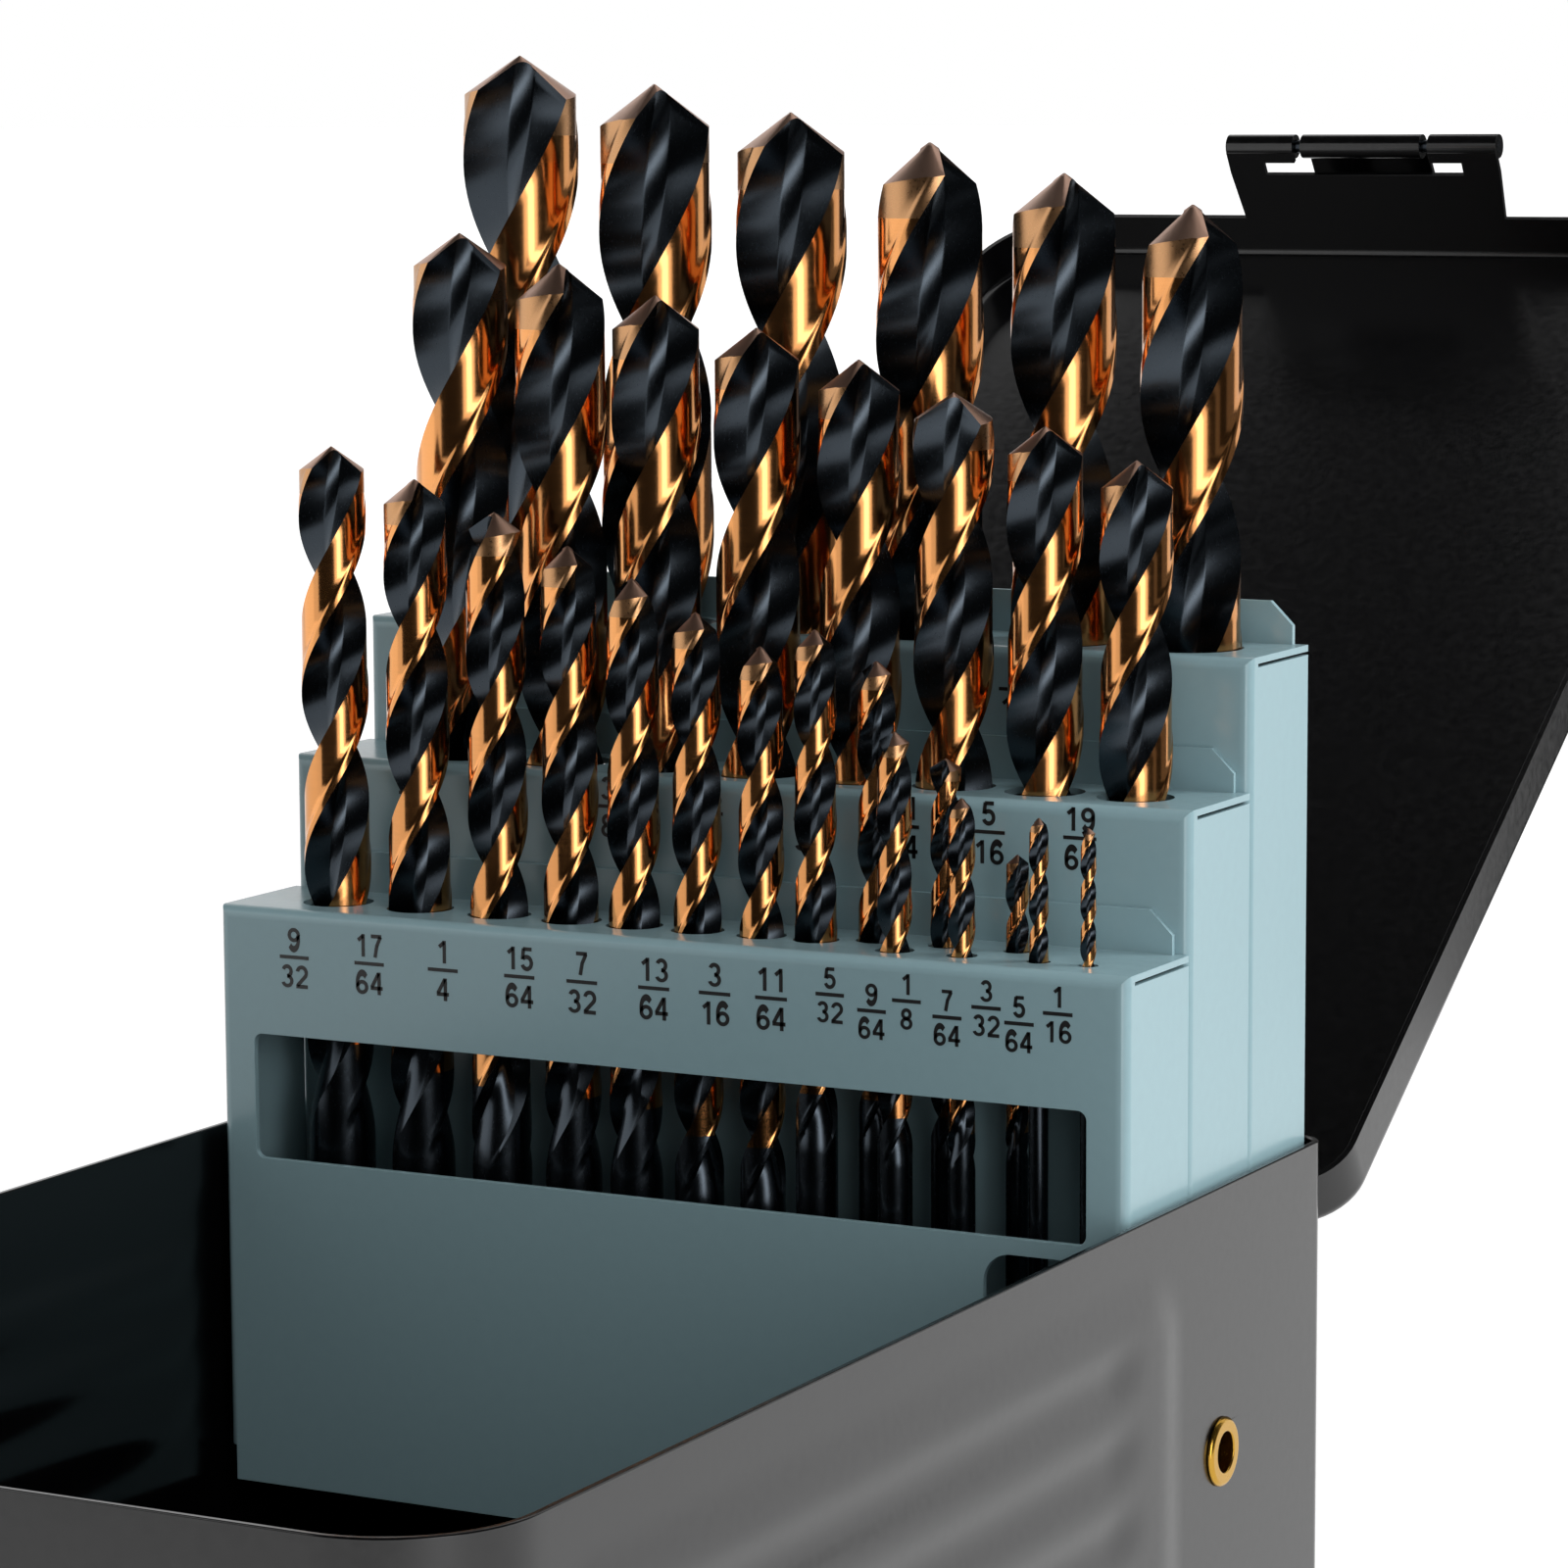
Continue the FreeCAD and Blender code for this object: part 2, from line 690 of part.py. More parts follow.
def make_rest(rack, levels):
    # Each level is (where it starts across, height of its upper side), from left to right.
    depth, height, behind = RACKS[rack]
    label = rack + "_rest"
    half = f"({RACK_HALF} - sheet)"
    body = new_body(label)
    strip = sketch_on(body, label + "_strip", "XZ_Plane", f"-({depth} - rest_rear_gap)")
    upper = [(f"-{half} + sheet", f"{levels[0][1]} + rest_tab")]
    lower = [(f"-{half}", f"{levels[0][1]} + rest_tab"), (f"-{half}", f"{levels[0][1]} - sheet")]
    upper.append((f"-{half} + sheet", levels[0][1]))
    for (start, level), (before, low) in zip(levels[1:], levels):
        upper += [(start, low), (start, level)]
        lower += [(f"{start} + sheet", f"{low} - sheet"), (f"{start} + sheet", f"{level} - sheet")]
    last = levels[-1][1]
    upper += [(f"{half} - sheet", last), (f"{half} - sheet", f"{last} + rest_tab")]
    lower += [(half, f"{last} - sheet"), (half, f"{last} + rest_tab")]
    add_outline(strip, lower + upper[::-1])
    pad(body, strip, f"{depth} - rest_rear_gap - sheet - seam")
    set_in_unit(body, behind)
    return keep(body, label)


# Where each step of the front rest starts, as a share of the rack's width
REST_STEP_SHARES = {"small": 0.613, "fine": 0.827, "finer": 0.869, "finest": 0.916}


def make_rests():
    foot = "0 * sheet + sheet"
    steps = [(None, "front_height - rest_depth_large")]
    for step, share in REST_STEP_SHARES.items():
        steps.append((f"({2 * share - 1} * {RACK_HALF})", f"front_height - rest_depth_{step}"))
    make_rest("front", steps)
    make_rest("middle", [(None, foot)])
    make_rest("back", [(None, foot)])


# Lid, drawn shut and then swung open about the hinge

def swing(text_y, text_z, angle, base=None):
    # A turn about an axis that runs across the case.
    centre = FreeCAD.Vector(0, value(text_y), value(text_z))
    turn = FreeCAD.Rotation(FreeCAD.Vector(-1, 0, 0), angle)
    return FreeCAD.Placement(centre - turn.multVec(centre), turn)


def open_lid():
    return swing(HINGE_Y, HINGE_Z, size("lid_open_angle"))


def make_lid():
    body = pan("lid_pan", LID_HALF, LID_FRONT, LID_REAR, LID_RIM, LID_TOP,
               "front_corner + lid_gap + sheet", "lid_rear_corner", "lid_edge_bend", False)
    trim = sketch_on(body, "lid_trim", "XZ_Plane", f"-{LID_REAR}")
    side = "(tray_width / 2 - lid_trim_side_gap)"
    add_rectangle(trim, f"-{side}", side, f"{LID_RIM} - overrun",
                  f"{HINGE_Z} + lid_trim_above_axis")
    pocket(body, trim, "2 * sheet", backwards=True)

    tab = sketch_on(body, "lid_tab", "XZ_Plane", f"-{LID_FRONT}")
    shoulder = f"{LATCH_Z} + 2 * latch_knuckle"
    root = f"{LID_RIM} + lid_edge_bend"
    add_outline(tab, [
        ("-tab_root_half", root),
        ("-tab_root_half", LID_RIM),
        ("-tab_half", shoulder),
        ("-tab_half", LATCH_Z),
        ("tab_half", LATCH_Z),
        ("tab_half", shoulder),
        ("tab_root_half", LID_RIM),
        ("tab_root_half", root),
    ])
    pad(body, tab, "sheet", backwards=True)

    notch = sketch_on(body, "lid_notch", "XZ_Plane", f"-{LID_FRONT} + overrun")
    knuckle_end = "(clasp_half + clasp_gap)"
    slot_low = f"({LATCH_Z} + latch_knuckle)"
    slot_top = f"({slot_low} + slot_height)"
    add_outline(notch, [
        (f"-{knuckle_end}", f"{LATCH_Z} - overrun"),
        (knuckle_end, f"{LATCH_Z} - overrun"),
        (knuckle_end, slot_low),
        (f"{knuckle_end} + slot_reach", slot_low),
        (f"{knuckle_end} + slot_reach", slot_top),
        (f"-{knuckle_end} - slot_reach", slot_top),
        (f"-{knuckle_end} - slot_reach", slot_low),
        (f"-{knuckle_end}", slot_low),
    ])
    pocket(body, notch, "sheet + 2 * overrun")
    length = f"(tab_half - {knuckle_end})"
    barrels = [
        cylinder("tab_knuckle_left", "latch_knuckle", length, "x", "-tab_half", LATCH_Y, LATCH_Z),
        cylinder("tab_knuckle_right", "latch_knuckle", length, "x", knuckle_end, LATCH_Y, LATCH_Z),
    ]
    solid = joined("lid_with_knuckles", [body] + barrels)
    bore = cylinder("tab_bore", "latch_wire + running_gap", "2 * tab_half + 2 * overrun", "x",
                    "-tab_half - overrun", LATCH_Y, LATCH_Z)
    lid = cut("lid_cut", solid, bore)
    lid.Placement = open_lid()
    return keep(lid, "lid_shell")


# Rear hinge: three knuckles on the tray's leaf, two on the lid's leaf, and one wire
KNUCKLES = 5
KNUCKLE_PITCH = f"((hinge_length + hinge_gap) / {KNUCKLES})"
KNUCKLE_LENGTH = f"({KNUCKLE_PITCH} - hinge_gap)"


def knuckle_start(number):
    return f"-hinge_length / 2 + {number} * {KNUCKLE_PITCH}"


def make_leaf(label, numbers, back, plate_low, plate_high, arm_low, arm_high):
    pieces = [block(label + "_plate", "hinge_length", "hinge_leaf",
                    f"({plate_high}) - ({plate_low})", "-hinge_length / 2", back, plate_low)]
    for number in numbers:
        start = knuckle_start(number)
        pieces.append(block(f"{label}_arm_{number}", KNUCKLE_LENGTH, "hinge_leaf",
                            f"({arm_high}) - ({arm_low})", start, back, arm_low))
        pieces.append(cylinder(f"{label}_barrel_{number}", "hinge_knuckle", KNUCKLE_LENGTH, "x",
                               start, HINGE_Y, HINGE_Z))
    bore = cylinder(label + "_bore", "hinge_wire + running_gap", "hinge_length + 2 * overrun", "x",
                    "-hinge_length / 2 - overrun", HINGE_Y, HINGE_Z)
    return cut(label + "_cut", joined(label + "_group", pieces), bore)


def make_hinge():
    clear = "hinge_knuckle + roll_gap + hinge_gap"
    wall = "tray_length / 2"
    fixed = make_leaf("hinge_leaf_base", range(0, KNUCKLES, 2), wall,
                      f"{HINGE_Z} - hinge_leaf_drop", f"{HINGE_Z} - ({clear})",
                      f"{HINGE_Z} - ({clear})", HINGE_Z)
    keep(fixed, "hinge_leaf_base")
    skirt = f"{LID_REAR} - sheet - hinge_leaf"
    lid_under = f"({LID_TOP} - lid_edge_bend)"
    moving = make_leaf("hinge_leaf_lid", range(1, KNUCKLES, 2), skirt,
                       f"{HINGE_Z} + {clear}", lid_under, HINGE_Z, f"{HINGE_Z} + {clear}")
    moving.Placement = open_lid()
    keep(moving, "hinge_leaf_lid")
    wire = cylinder("hinge_wire_rod", "hinge_wire", "hinge_length", "x",
                    "-hinge_length / 2", HINGE_Y, HINGE_Z)
    keep(wire, "hinge_pin")


# Latch: a wire through the tab's knuckles and a clasp that snaps over the stud

def make_latch():
    wire = cylinder("latch_wire_rod", "latch_wire", "2 * tab_half", "x")
    spot = FreeCAD.Vector(-size("tab_half"), value(LATCH_Y), value(LATCH_Z))
    shut = FreeCAD.Placement(spot, wire.Placement.Rotation)
    wire.Placement = open_lid().multiply(shut)
    keep(wire, "latch_pin")
    face = f"({LATCH_Y} + latch_knuckle + roll_gap - clasp_sheet)"
    wide = "2 * clasp_half"
    foot = f"({LATCH_Z} - clasp_length)"
    leaf = block("clasp_leaf", wide, "clasp_sheet", "clasp_length", "-clasp_half", face, foot)
    barrel = cylinder("clasp_barrel", "latch_knuckle", wide, "x", "-clasp_half", LATCH_Y, LATCH_Z)
    lip_y = f"({face} + clasp_sheet - clasp_lip)"
    lip = cylinder("clasp_lip_roll", "clasp_lip", wide, "x", "-clasp_half", lip_y, foot)
    roll = cylinder("clasp_lip_hollow", "clasp_lip - clasp_sheet", f"{wide} + 2 * overrun", "x",
                    "-clasp_half - overrun", lip_y, foot)
    above = block("clasp_lip_open", f"{wide} + 2 * overrun", "2 * clasp_lip", "2 * clasp_lip",
                  "-clasp_half - overrun", f"{lip_y} - clasp_lip - clasp_sheet", foot)
    curl = cut("clasp_curl", lip, joined("clasp_lip_cuts", [roll, above]))
    bore = cylinder("clasp_bore", "latch_wire + running_gap", f"{wide} + 2 * overrun", "x",
                    "-clasp_half - overrun", LATCH_Y, LATCH_Z)
    window = cylinder("clasp_window_hole", "clasp_window", "clasp_sheet + 2 * overrun", "y",
                      "0", f"{face} - overrun", f"{LATCH_Z} - stud_below_pin")
    solid = joined("clasp_group", [leaf, barrel, curl])
    clasp = cut("clasp_cut", solid, joined("clasp_cuts", [bore, window]))
    folded = swing(LATCH_Y, LATCH_Z, -size("clasp_rest_angle"))
    clasp.Placement = open_lid().multiply(folded)
    keep(clasp, "latch_clasp")


# Twist drills: a round shank, two right-hand flutes that run out into it, and a cone point

def section(radius, turned, rise, fullness):
    points = []
    for half in (0, size("flute_spacing")):
        for angle, share in SECTION_SHARES:
            reach = radius * (share + (1 - share) * (1 - fullness))
            at = math.radians(angle + half + turned)
            points.append((reach * math.cos(at), reach * math.sin(at), rise))
    return points


def fluted_shape(radius, length, flute):
    pitch = 2 * math.pi * radius / math.tan(math.radians(size("helix_angle")))
    point_rise = radius / math.tan(math.radians(size("point_angle") / 2))
    start = length - flute - SHANK_LAP_SHARE * radius
    runout = length - flute + 2 * RUNOUT_SHARE * radius
    shoulder = length - point_rise
    step = pitch * size("twist_step") / 360
    count = max(2, round((shoulder - runout) / step))
    heights = [start, (start + runout) / 2]
    heights += [runout + (shoulder - runout) * i / count for i in range(count + 1)]
    rings = []
    for number, rise in enumerate(heights):
        fullness = min(number, 2) / 2
        turned = 360 * (rise - shoulder) / pitch
        wide = radius * SHANK_FIT_SHARE if number == 0 else radius
        rings.append(section(wide, turned, rise, fullness))
    cone = math.tan(math.radians(size("point_angle") / 2))
    rings[-1] = [(x, y, length - math.hypot(x, y) / cone) for x, y, z in rings[-1]]
    points = [p for ring in rings for p in ring]
    around = len(rings[0])
    facets = []
    for level in range(len(rings) - 1):
        for i in range(around):
            a = level * around + i
            b = level * around + (i + 1) % around
            facets.append((a, b, b + around))
            facets.append((a, b + around, a + around))
    foot = len(points)
    points.append((0, 0, start))
    points.append((0, 0, length))
    top = (len(rings) - 1) * around
    for i in range(around):
        after = (i + 1) % around
        facets.append((foot, after, i))
        facets.append((foot + 1, top + i, top + after))
    shape = Part.Shape()
    shape.makeShapeFromMesh((points, facets), size("seat_gap") / 10)
    return Part.Solid(Part.Shell(shape.Faces))


def rest_level(drill):
    if drill[3] != "front":
        return size("sheet")
    height = size("front_height")
    level = height - size("rest_depth_large")
    for step, share in REST_STEP_SHARES.items():
        if across_share(drill) > share:
            level = height - size("rest_depth_" + step)
    return level


def make_drill(drill):
    tag = tag_of(drill)
    label = "drill_" + tag
    radius = size("bit_radius_" + tag)
    long = size("bit_length_" + tag)
    fluted = size("bit_flute_" + tag)
    shank = Part.makeCylinder(radius, long - fluted)
    solid = shank.fuse(fluted_shape(radius, long, fluted))
    piece = doc.addObject("Part::Feature", label)
    piece.Shape = solid.Solids[0]
    left, back = bit_place(drill)
    behind = RACKS[drill[3]][2]
    piece.Placement = FreeCAD.Placement(FreeCAD.Vector(
        value(left),
        value(f"{RACK_Y} + {behind} + {back}"),
        value(RACK_Z) + rest_level(drill) + size("seat_gap")), FreeCAD.Rotation())
    keep(piece, label)


def check_and_write():
    doc.recompute()
    for thing in doc.Objects:
        if {"Invalid", "Error"} & set(thing.State):
            raise RuntimeError(f"{thing.Name} failed: {thing.State}")
    os.makedirs("parts", exist_ok=True)
    for piece in PARTS:
        shape = piece.Shape
        if shape.isNull() or not shape.isValid() or not shape.Solids:
            raise RuntimeError(piece.Label + " has no sound shape")
        shape.exportStep(os.path.join("parts", piece.Label + ".step"))
        box = shape.BoundBox
        print(f"{piece.Label:18s} {len(shape.Solids)} solid, {shape.Volume:9.1f} mm3, "
              f"z {box.ZMin:.1f} to {box.ZMax:.1f}")


make_tray()
make_eyelet("eyelet_left", -1)
make_eyelet("eyelet_right", 1)
make_stud()
for rack_key in RACKS:
    make_rack(rack_key)
make_rests()
make_lid()
make_hinge()
make_latch()
for one_drill in DRILLS:
    make_drill(one_drill)
check_and_write()
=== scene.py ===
import json
import math
from collections import namedtuple

import bmesh
import bpy
from mathutils import Matrix, Vector

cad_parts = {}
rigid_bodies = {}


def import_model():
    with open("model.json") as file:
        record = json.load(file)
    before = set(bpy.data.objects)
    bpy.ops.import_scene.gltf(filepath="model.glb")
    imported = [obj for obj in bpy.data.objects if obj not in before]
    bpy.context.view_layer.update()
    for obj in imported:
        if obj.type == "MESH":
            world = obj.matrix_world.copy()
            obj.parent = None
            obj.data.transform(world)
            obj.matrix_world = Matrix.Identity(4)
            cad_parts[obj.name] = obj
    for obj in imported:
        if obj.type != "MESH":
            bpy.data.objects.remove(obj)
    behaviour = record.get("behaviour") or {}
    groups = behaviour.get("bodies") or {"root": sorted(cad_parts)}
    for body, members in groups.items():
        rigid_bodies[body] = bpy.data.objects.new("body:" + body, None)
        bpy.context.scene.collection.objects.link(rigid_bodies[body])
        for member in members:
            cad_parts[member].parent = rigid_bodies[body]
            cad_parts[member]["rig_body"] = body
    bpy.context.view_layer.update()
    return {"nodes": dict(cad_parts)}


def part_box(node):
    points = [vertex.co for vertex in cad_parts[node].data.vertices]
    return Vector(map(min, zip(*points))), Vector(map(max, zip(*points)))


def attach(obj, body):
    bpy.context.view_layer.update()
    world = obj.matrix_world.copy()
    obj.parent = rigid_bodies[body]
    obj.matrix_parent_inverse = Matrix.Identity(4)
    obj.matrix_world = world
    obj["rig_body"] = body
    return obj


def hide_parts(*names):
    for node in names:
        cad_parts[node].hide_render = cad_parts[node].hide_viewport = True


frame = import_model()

bl_info = {
    "name": "Drill bit case",
    "version": (1, 0, 0),
    "blender": (4, 5, 0),
    "location": "3D View > Sidebar > Bit case",
    "description": "Dresses the packed drill bit case and sets it on its stage",
    "category": "Object",
}

MM = 0.001

# Twist drills: length of the flutes in millimetres, and where the first flute stands at the
# shoulder, in degrees round from +X
DRILLS = {
    "9_32": (74.6, 142),
    "17_64": (73.0, 172),
    "1_4": (69.9, 53),
    "15_64": (66.7, 14),
    "7_32": (63.5, 30),
    "13_64": (61.9, 13),
    "3_16": (58.7, 24),
    "11_64": (54.0, 15),
    "5_32": (50.8, 38),
    "9_64": (44.5, 50),
    "1_8": (41.3, 84),
    "7_64": (38.1, 24),
    "3_32": (31.8, 175),
    "5_64": (25.4, 18),
    "1_16": (22.2, 46),
    "13_32": (98.4, 134),
    "25_64": (95.3, 179),
    "3_8": (92.1, 157),
    "23_64": (88.9, 153),
    "11_32": (87.3, 155),
    "21_64": (84.1, 112),
    "5_16": (81.0, 147),
    "19_64": (77.8, 153),
    "1_2": (114.3, 128),
    "31_64": (111.1, 154),
    "15_32": (109.5, 144),
    "29_64": (106.4, 6),
    "7_16": (103.2, 169),
    "27_64": (100.0, 5),
}

# Drill section: steps of the land's body, of its ramp up to the margin, of the margin and of
# the flute, whose steps crowd towards the cutting side
BODY_STEPS = 7
RAMP_STEPS = 3
MARGIN_STEPS = 3
FLUTE_STEPS = 18
RAMP_ANGLE = math.radians(7)
FLUTE_SKEW = 0.86

# Along the drill, over its radius: how far the flute takes to run out, where the gold starts,
# both above the flute's end, how far the dulled collar reaches below the shoulder, and from how
# far below the shoulder the rings lean towards the ground point. Then the turn from one ring to
# the next, and the fewest rings
RUNOUT = 4.4
GOLD_START = 3.0
COLLAR = 0.72
POINT_REACH = 0.5
TWIST_STEP = math.radians(6)
FEWEST_TWISTS = 12

# Rings of the ground point, as shares of the radius, and of the shank's foot, as height and
# width over the radius
POINT_RINGS = (0.8, 0.55, 0.3, 0.1)
FOOT_RINGS = ((0.09, 1.0), (0.0, 0.9))

# Places of a drill's materials on its mesh
FLUTE, LAND, POINT, DULLED = range(4)

# Room for rounding: an angle in radians on the section, and metres along the drill
ANGLE_SLACK = 0.001
HEIGHT_SLACK = 1e-6

# Printed sizes on each rack: how far the bar lies below the rack's top, the share of the full
# figure height, and for each size how far it stands beside its drill, in millimetres
LABEL_ROWS = {
    "front": (5.0, 1.0, {
        "9_32": -0.8, "17_64": -1.7, "1_4": -2.4, "15_64": -1.9, "7_32": -2.0, "13_64": -1.0,
        "3_16": -1.4, "11_64": -1.2,
    }),
    "front_high": (4.1, 0.88, {"5_32": -0.3, "1_8": 0.5, "3_32": 1.3, "1_16": -0.9}),
    "front_low": (5.4, 0.88, {"9_64": 0.0, "7_64": 0.9, "5_64": 0.3}),
    "middle": (3.4, 1.0, {
        "13_32": -2.0, "25_64": -2.0, "3_8": -2.0, "23_64": -2.0, "11_32": -2.0, "21_64": -2.0,
        "5_16": -2.7, "19_64": -2.7,
    }),
    "back": (4.4, 1.0, {
        "1_2": -2.0, "31_64": -2.0, "15_32": -2.0, "29_64": -2.0, "7_16": -2.0, "27_64": -2.0,
    }),
}

# Figures one unit high, as middle lines of their strokes: a line from point to point, or an arc
# given by its middle, half width, half height, start and end in degrees. Then their strokes'
# width, the way from one figure to the next, the distance that joins strokes, and the degrees
# and the fewest steps of an arc
FIGURES = {
    "1": (("line", (0.09, 0.0), (0.09, 1.0)), ("line", (0.09, 0.93), (-0.17, 0.72))),
    "2": (
        ("arc", (0.0, 0.69), 0.235, 0.245, 168, -38),
        ("line", (0.185, 0.54), (-0.235, 0.1)),
        ("line", (-0.3, 0.065), (0.3, 0.065)),
    ),
    "3": (
        ("arc", (0.0, 0.72), 0.205, 0.215, 160, -88),
        ("arc", (0.0, 0.285), 0.235, 0.22, 92, -162),
    ),
    "4": (
        ("line", (0.12, 0.0), (0.12, 1.0)),
        ("line", (0.1, 0.96), (-0.26, 0.33)),
        ("line", (-0.32, 0.29), (0.3, 0.29)),
    ),
    "5": (
        ("line", (-0.17, 0.935), (0.25, 0.935)),
        ("line", (-0.15, 0.96), (-0.21, 0.47)),
        ("arc", (0.0, 0.33), 0.235, 0.265, 142, -160),
    ),
    "6": (
        ("arc", (0.005, 0.3), 0.235, 0.235, 0, 360),
        ("arc", (0.015, 0.5), 0.25, 0.435, 205, 38),
    ),
    "7": (
        ("line", (-0.27, 0.935), (0.27, 0.935)),
        ("line", (0.22, 0.92), (0.02, 0.5)),
        ("line", (0.03, 0.52), (-0.07, 0.0)),
    ),
    "8": (
        ("arc", (0.0, 0.735), 0.195, 0.2, 0, 360),
        ("arc", (0.0, 0.285), 0.235, 0.22, 0, 360),
    ),
    "9": (
        ("arc", (-0.005, 0.7), 0.235, 0.235, 0, 360),
        ("arc", (-0.015, 0.5), 0.25, 0.435, 25, -142),
    ),
}
FIGURE_STROKE = 0.17
FIGURE_ADVANCE = 0.77
FIGURE_WELD = 0.001
ARC_STEP = 12
FEWEST_ARC_STEPS = 6

# Middles of the figures above and below the bar, over the figure's height, the ink's thickness,
# and how far the rack's lip stands over its top, which the printing is measured from
ABOVE_BAR = 0.8
BELOW_BAR = -0.86
INK_THICK = 0.03 * MM
LIP_RISE = 4.5 * MM

# Copies of the sheet metal: distances that join corners, room for rounding at a cut, and the
# angles below which facets are one plane, above which an edge is a cut edge, and above which
# shading breaks
WELD = 0.002 * MM
RELIEF_WELD = 0.003 * MM
CUT_SLACK = 0.0001 * MM
SAME_PLANE = math.radians(0.5)
CUT_EDGE = math.radians(40)
SHARP_EDGE = math.radians(32)

# Widths of the eased edges
RACK_EASE = 0.12 * MM
REST_EASE = 0.1 * MM
SHELL_EASE = 0.15 * MM
CLASP_EASE = 0.1 * MM
EYELET_EASE = 0.25 * MM
LEAF_EASE = 0.08 * MM

# Pressed relief of the tray's long sides, in millimetres: the wall's face, the sheet, how deep
# behind the face the old relief may lie, then the raised panel and its four ribs. A face whose
# normal has at least this share across the case belongs to a long side
SIDEWAYS = 0.2
WALL_FACE = 55.0
SHEET = 0.7
WALL_BAND = 1.6
PANEL_MIDDLE = (-12.0, 25.75)
PANEL_HALF = (59.5, 18.5)
PANEL_ROUND = 6.0
PANEL_FADE = 3.0
PANEL_RISE = 0.4
RIB_LEVELS = (38, 30, 22, 14)
RIB_HALF = 3.9
RIB_DEPTH = 0.5
RIB_ENDS = (-63.0, 41.0)
RIB_FADE = 9.0

# Part of the wall that is made again: from, to and number of cells, along Y and up Z
RELIEF_Y = (-74.0, 51.0, 84)
RELIEF_Z = (5.0, 48.0, 60)

# Grain of every material: the part of the noise's range that is used, and its detail
GRAIN_RANGE = (0.3, 0.7)
GRAIN_DETAIL = 3.0

# The photograph's camera in the frame of the case: place in metres, turn, dip and roll in degrees,
# lens and sensor in millimetres, and how near and far it sees in metres
CAMERA_PLACE = (0.254913, -0.411920, 0.161091)
CAMERA_TURN = 27.883
CAMERA_DIP = 7.546
CAMERA_ROLL = -0.304
CAMERA_LENS = 118.06
CAMERA_SENSOR = 36
CAMERA_SIGHT = (0.01, 60)

# The dark tent that polished faces reflect, as turns from the camera in degrees: its walls, the
# grey strips in them, the rise where its cap starts, the gap in the cap, and its lowest rise.
# Its middle is also where the lamps aim, and it ends a little above the floor. Then how grey its
# two cloths are
STAGE_AIM = (0, 0.05, 0.09)
TENT_RADIUS = 0.46
TENT_FACETS = (180, 60)
TENT_WALLS = ((-53, 108), (129, 165))
TENT_GREY = ((56, 66), (84, 104), (140, 150))
TENT_CAP = 42
CAP_OPEN = (104, 165)
TENT_FOOT = -35
TENT_CLEAR = 0.003
DARK_CLOTH = 0.015
GREY_CLOTH = 0.14

# Floor and backdrop: half the floor's side, its glow near and far from the middle with the
# distances between which it changes, and the backdrop's light on the object and as it is seen
FLOOR_HALF = 30
GLOW_NEAR = (0.2, 0.74)
GLOW_FAR = (1.4, 0.98)
WORLD_LIGHT = 0.17
WORLD_SEEN = 1.0

# Lamps: turn from the camera, rise and distance, then width and height, watts, and whether
# reflections show them
LAMPS = (
    ("strip_front", (21, 5, 0.41), (0.24, 0.26), 0.31, True),
    ("strip_core", (22, 5, 0.4), (0.1, 0.26), 0.24, True),
    ("soft_left", (-96, 20, 0.8), (0.8, 1.0), 1.1, True),
    ("soft_right", (84, 22, 1.1), (0.5, 1.0), 12.5, False),
    ("soft_top", (10, 66, 1.1), (0.5, 0.5), 3.6, False),
)


def linear(hex_code):
    shares = [int(hex_code[i:i + 2], 16) / 255 for i in (1, 3, 5)]
    return tuple(s / 12.92 if s <= 0.04045 else ((s + 0.055) / 1.055) ** 2.4 for s in shares)


def colour(name, description, hex_code):
    return bpy.props.FloatVectorProperty(
        name=name, description=description, subtype="COLOR", default=linear(hex_code),
        min=0, max=1,
    )


class DrillLook(bpy.types.PropertyGroup):
    """Sizes and colours of the twist drills"""

    land_angle: bpy.props.FloatProperty(
        name="Land", description="Angle that each land takes of the round",
        default=math.radians(72), subtype="ANGLE",
    )
    margin_angle: bpy.props.FloatProperty(
        name="Margin", description="Angle of the raised strip at the land's leading edge",
        default=math.radians(11), subtype="ANGLE",
    )
    clearance: bpy.props.FloatProperty(
        name="Clearance", description="How far the land lies below its margin, over the radius",
        default=0.035,
    )
    web: bpy.props.FloatProperty(
        name="Web", description="Half the web's thickness over the radius", default=0.17,
    )
    helix_angle: bpy.props.FloatProperty(
        name="Helix", description="Lean of the flutes at the outside",
        default=math.radians(31), subtype="ANGLE",
    )
    point_angle: bpy.props.FloatProperty(
        name="Point", description="Full angle of the ground point",
        default=math.radians(118), subtype="ANGLE",
    )
    relief: bpy.props.FloatProperty(
        name="Relief", description="Fall of the ground point from lip to heel, over the radius",
        default=0.2,
    )
    flute_colour: colour("Black oxide", "Flutes and shanks", "#3c4248")
    land_colour: colour("Gold coat", "Lands", "#d09058")
    point_colour: colour("Ground point", "Facets of the point", "#bd9884")
    collar_colour: colour("Dulled gold", "Land beside the point", "#b48860")


class RackLook(bpy.types.PropertyGroup):
    """Colours and lettering of the racks"""

    enamel_colour: colour("Enamel", "Grey-green enamel of the racks", "#8ba8af")
    ink_colour: colour("Ink", "Printed sizes", "#060607")
    figure_height: bpy.props.FloatProperty(
        name="Figure height", description="Height of one printed figure",
        default=2.4 * MM, subtype="DISTANCE", unit="LENGTH",
    )
    bar_length: bpy.props.FloatProperty(
        name="Bar length", description="Length of the bar between the figures",
        default=3.65 * MM, subtype="DISTANCE", unit="LENGTH",
    )
    bar_thickness: bpy.props.FloatProperty(
        name="Bar thickness", description="Thickness of the bar between the figures",
        default=0.38 * MM, subtype="DISTANCE", unit="LENGTH",
    )


